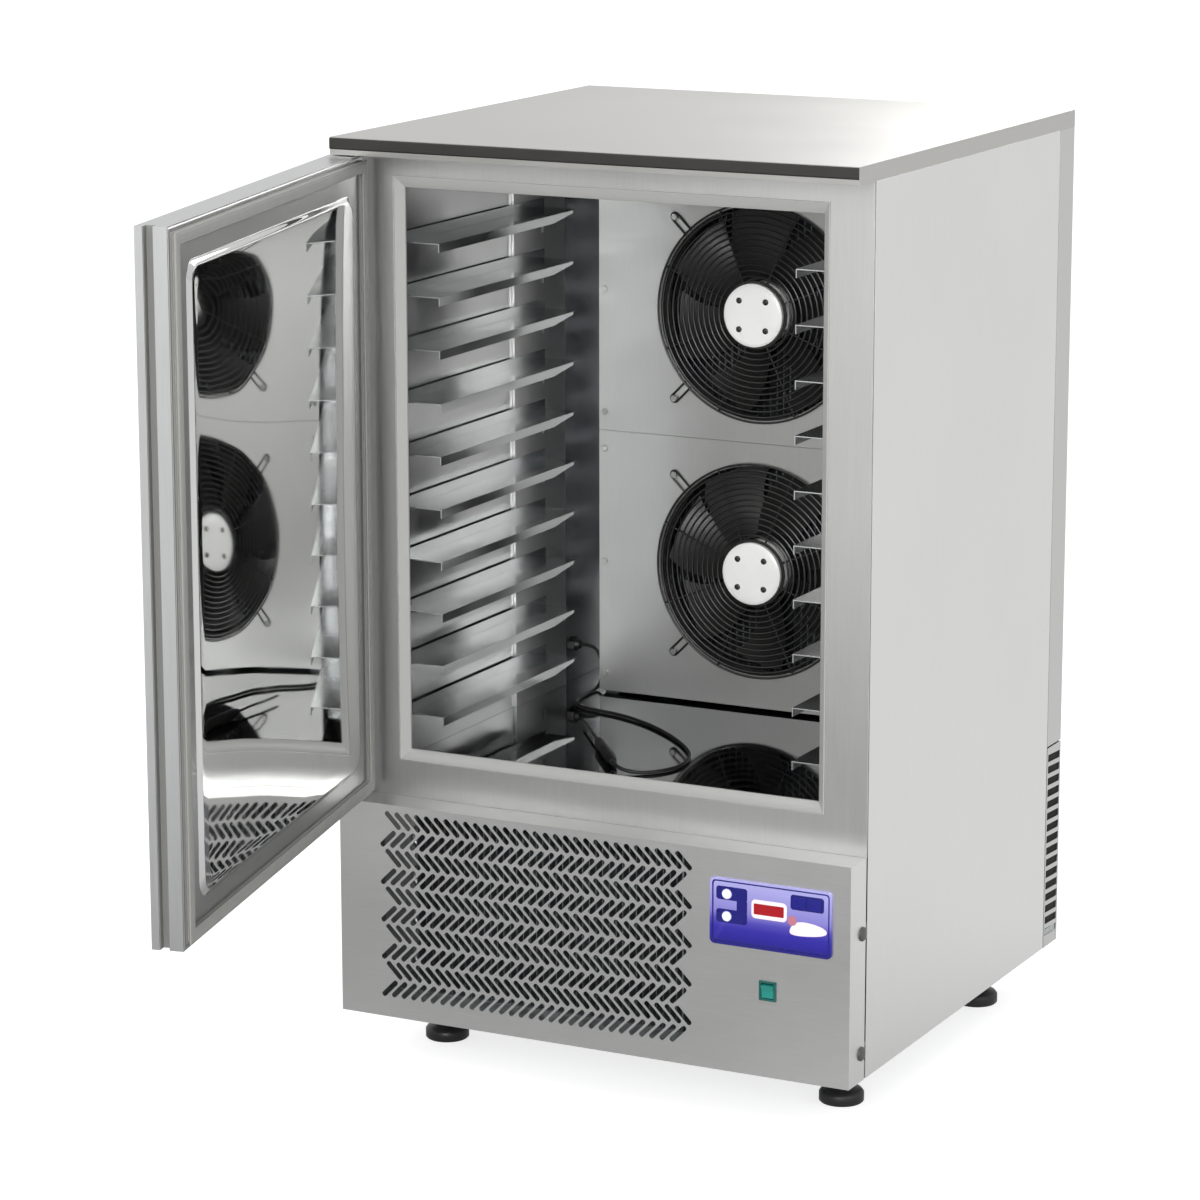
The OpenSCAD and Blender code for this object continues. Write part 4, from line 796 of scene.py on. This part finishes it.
def addFloor(facts):
    s = facts["floorSpan"] / 2
    mesh = bpy.data.meshes.new("studioFloor")
    mesh.from_pydata([(-s, -s, 0), (s, -s, 0), (s, s, 0), (-s, s, 0)], [], [(0, 1, 2, 3)])
    floor = bpy.data.objects.new("studioFloor", mesh)
    bpy.context.scene.collection.objects.link(floor)
    mat, tree, shader = newMaterial("paleStudioFloor", facts["floorGrey"], Roughness=0.9)
    # some light of its own, so that it looks white but keeps the shadow; painted reflection: to reflected rays the
    # floor is a darker grey, and its glow is painted as a pool, grey near the cabinet and brighter away from it, so
    # that in metal its middle stays grey (the ramp runs over 5 m)
    path = addNode(tree, "ShaderNodeLightPath")
    glossy = path.outputs["Is Glossy Ray"]
    direct = {0: path.outputs["Is Camera Ray"], 1: path.outputs["Is Transmission Ray"]}
    seen = addNode(tree, "ShaderNodeMath", links=direct, operation="MAXIMUM")
    feed(tree, shader, "Base Color", glossy, [(0.0, facts["floorGrey"]), (1.0, facts["paintedReflectionGrey"])])
    fromPaintedPool = objectPlace(tree, (0.2, 0.2, 0.2), facts["paintedPoolShift"])
    away = addNode(tree, "ShaderNodeVectorMath", links={0: fromPaintedPool}, operation="LENGTH")
    paintedPool = ramp(tree, away.outputs["Value"], facts["paintedReflectionLift"])
    mirrored = addNode(tree, "ShaderNodeMath", links={0: glossy, 1: paintedPool}, operation="MULTIPLY")
    lift = addNode(tree, "ShaderNodeMath", {1: facts["seenLift"]}, {0: seen.outputs[0], 2: mirrored.outputs[0]},
                   operation="MULTIPLY_ADD")
    shader.inputs["Emission Color"].default_value = (1, 1, 1, 1)
    tree.links.new(lift.outputs[0], shader.inputs["Emission Strength"])
    mesh.materials.append(mat)


def addWorld(facts):
    world = bpy.data.worlds.new("studioWorld")
    world.use_nodes = True
    tree = world.node_tree
    back = tree.nodes["Background"]
    coord = addNode(tree, "ShaderNodeTexCoord")
    parts = addNode(tree, "ShaderNodeSeparateXYZ", links={0: coord.outputs["Generated"]})
    # brighter overhead, and dimmer towards the front, where the photographer's room is dark
    high = ramp(tree, parts.outputs["Z"], [(0.0, facts["worldHorizon"]), (0.75, facts["worldZenith"])])
    depth = addNode(tree, "ShaderNodeMath", {1: 0.5, 2: 0.5}, {0: parts.outputs["Y"]}, operation="MULTIPLY_ADD")
    front = ramp(tree, depth.outputs[0], [(0.05, facts["worldFront"]), (0.45, 1.0)])
    shade = addNode(tree, "ShaderNodeVectorMath", links={0: high, 1: front}, operation="MULTIPLY")
    tree.links.new(shade.outputs["Vector"], back.inputs["Color"])
    back.inputs["Strength"].default_value = 1.0
    bpy.context.scene.world = world


def addSoftbox(name, place, target, size, power):
    data = bpy.data.lights.new(name, "AREA")
    data.shape, data.size, data.size_y, data.energy = "RECTANGLE", size[0], size[1], power
    lamp = bpy.data.objects.new(name, data)
    bpy.context.scene.collection.objects.link(lamp)
    lamp.location = place
    lamp.rotation_euler = (Vector(target) - Vector(place)).to_track_quat("-Z", "Y").to_euler()


addFloor(studio)
addWorld(studio)
addSoftbox("softboxLeft", (-2.2, -3.6, 3.4), (0, 0, 0.7), (2.4, 2.0), 50)
addSoftbox("softboxRight", (4.2, -2.2, 2.6), (0, 0, 0.7), (2.0, 2.4), 50)
addSoftbox("softboxFront", (1.6, -5.2, 2.4), (0, 0.4, 0.85), (2.0, 2.0), 195)
addSoftbox("softboxRear", (0.3, 1.9, 2.3), (0, 0.2, 1.26), (1.6, 0.8), 22)
print("stage: studio lit")
